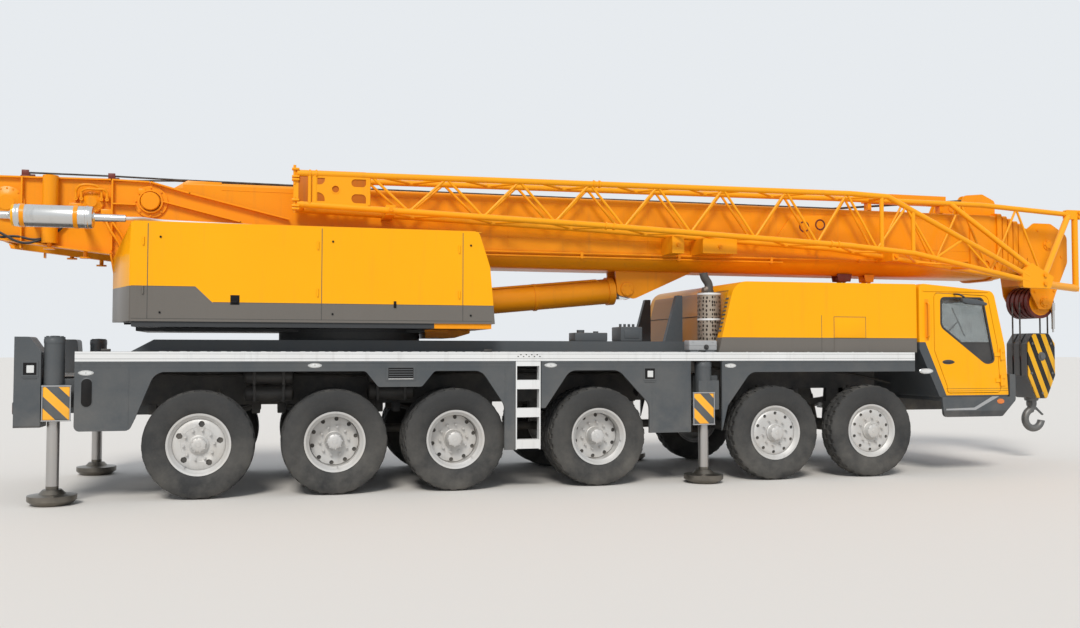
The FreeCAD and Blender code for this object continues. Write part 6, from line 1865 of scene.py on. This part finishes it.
def addDashboard():
    # dashboard with an instrument hood, vents, switches and the pedals
    bm = newBm()
    addPlate(bm, [(5.18, 1.09), (5.44, 1.09), (5.395, 1.74), (5.3, 1.745), (5.16, 1.72), (5.125, 1.68),
                  (5.12, 1.5)], -1.3, 1.3, bevel=0.012)
    addPlate(bm, [(5.14, 1.7), (5.28, 1.74), (5.26, 1.8), (5.19, 1.8)], 0.42, 0.94, bevel=0.014)
    for y in (-1.12, -0.3, 0.24, 1.12):
        for row in range(4):
            addBox(bm, (5.108, y - 0.09, 1.58 + row * 0.022), (5.13, y + 0.09, 1.59 + row * 0.022), 0.003, 1)
    addBox(bm, (5.11, -0.95, 1.52), (5.128, -0.45, 1.66), 0.006)
    for column in range(6):
        addBox(bm, (5.108, -0.16 + column * 0.055, 1.53), (5.126, -0.125 + column * 0.055, 1.57), 0.004, 1)
    for y, wide in ((0.5, 0.05), (0.66, 0.05), (0.86, 0.035)):
        addPlate(bm, [(5.1, 1.1), (5.112, 1.1), (5.166, 1.26), (5.154, 1.26)], y - wide, y + wide,
                 bevel=0.003)
    addPiece("cab_dashboard", bm, "carrier", "dashPlastic", ("cab_interior",))


def addSteeringWheel():
    bm = newBm()
    hub, up = Vector((4.99, 0.68, 1.79)), Vector((-210, 0, 230)).normalized()
    side = Vector((0, 1, 0))
    forward = side.cross(up)
    addRod(bm, (5.2, 0.68, 1.56), hub - up * 0.01, 0.032, 20)
    addRod(bm, hub - up * 0.035, hub + up * 0.012, 0.06, 24, endRadius=0.05)
    before = set(bm.faces)
    grip = [bm.verts.new(hub + side * a + up * b) for a, b in roundHole(0.21, 0.0, 0.0155, 10)]
    loop = [bm.edges.new(pair) for pair in zip(grip, grip[1:] + grip[:1])]
    bmesh.ops.spin(bm, geom=grip + loop, cent=hub, axis=up, angle=math.tau, steps=48, use_merge=True,
                   use_duplicate=False)
    bmesh.ops.recalc_face_normals(bm, faces=[f for f in bm.faces if f not in before])
    for angle in (0.0, math.pi, math.pi * 1.5):
        out = side * math.cos(angle) + forward * math.sin(angle)
        addRod(bm, hub + out * 0.05, hub + out * 0.205, 0.013, 10)
    addPiece("steering_wheel", bm, "carrier", "blackPlastic", ("cab_interior",))


def addOperatorSeat():
    middle = 1.07
    frames = newBm()
    addSeatFrame(frames, -2.62, middle, 2.036, 2.336, ((-2.922, 2.39), (-2.968, 3.08)))
    for y in (0.79, 1.35):
        addBox(frames, (-2.8, y - 0.045, 2.4), (-2.42, y + 0.045, 2.56), 0.018)
        addRod(frames, (-2.5, y, 2.55), (-2.5, y, 2.66), 0.009, 10)
        addRod(frames, (-2.5, y, 2.65), (-2.5, y, 2.71), 0.022, 16, endRadius=0.017)
    addPiece("operator_seat_frame", frames, "upper_works", "blackPlastic", ("operator_seat",))
    addCushion("operator_cushion", [(-2.845, 2.351), (-2.355, 2.351), (-2.356, 2.44), (-2.845, 2.424)],
               0.855, 1.285, (0, 0, 1),
               [("y", middle - 0.12), ("y", middle + 0.12), ("x", -2.7), ("x", -2.52)], (2, 1, 2.337),
               "upper_works", ("operator_seat",))
    addCushion("operator_back", [(-2.902, 2.45), (-2.816, 2.444), (-2.856, 3.098), (-2.944, 3.098)], 0.875,
               1.265, (1, 0, 0.06),
               [("y", middle - 0.11), ("y", middle + 0.11), ("z", 2.62), ("z", 2.82), ("z", 2.96)],
               (0, 1, -2.99), "upper_works", ("operator_seat",))


def addRearDetails():
    # lamp units at the back
    bm = newBm()
    for y in (-1.27, 1.27):
        addTinted(bm, 2, (-7.062, y - 0.22, 0.985), (-7.04, y + 0.22, 1.115), 0.006)
        for index, step in ((0, -0.12), (1, 0.0), (0, 0.12)):
            addTinted(bm, index, (-7.074, y + step - 0.052, 1.0), (-7.056, y + step + 0.052, 1.1), 0.006)
    addPiece("rear_lamps", bm, "carrier", ("redLens", "amberLens", "blackPlastic"))


makeSeatCloth()
addDrivingSeats()
addDashboard()
addSteeringWheel()
addOperatorSeat()
addRearDetails()
print("seats and cab insides made")
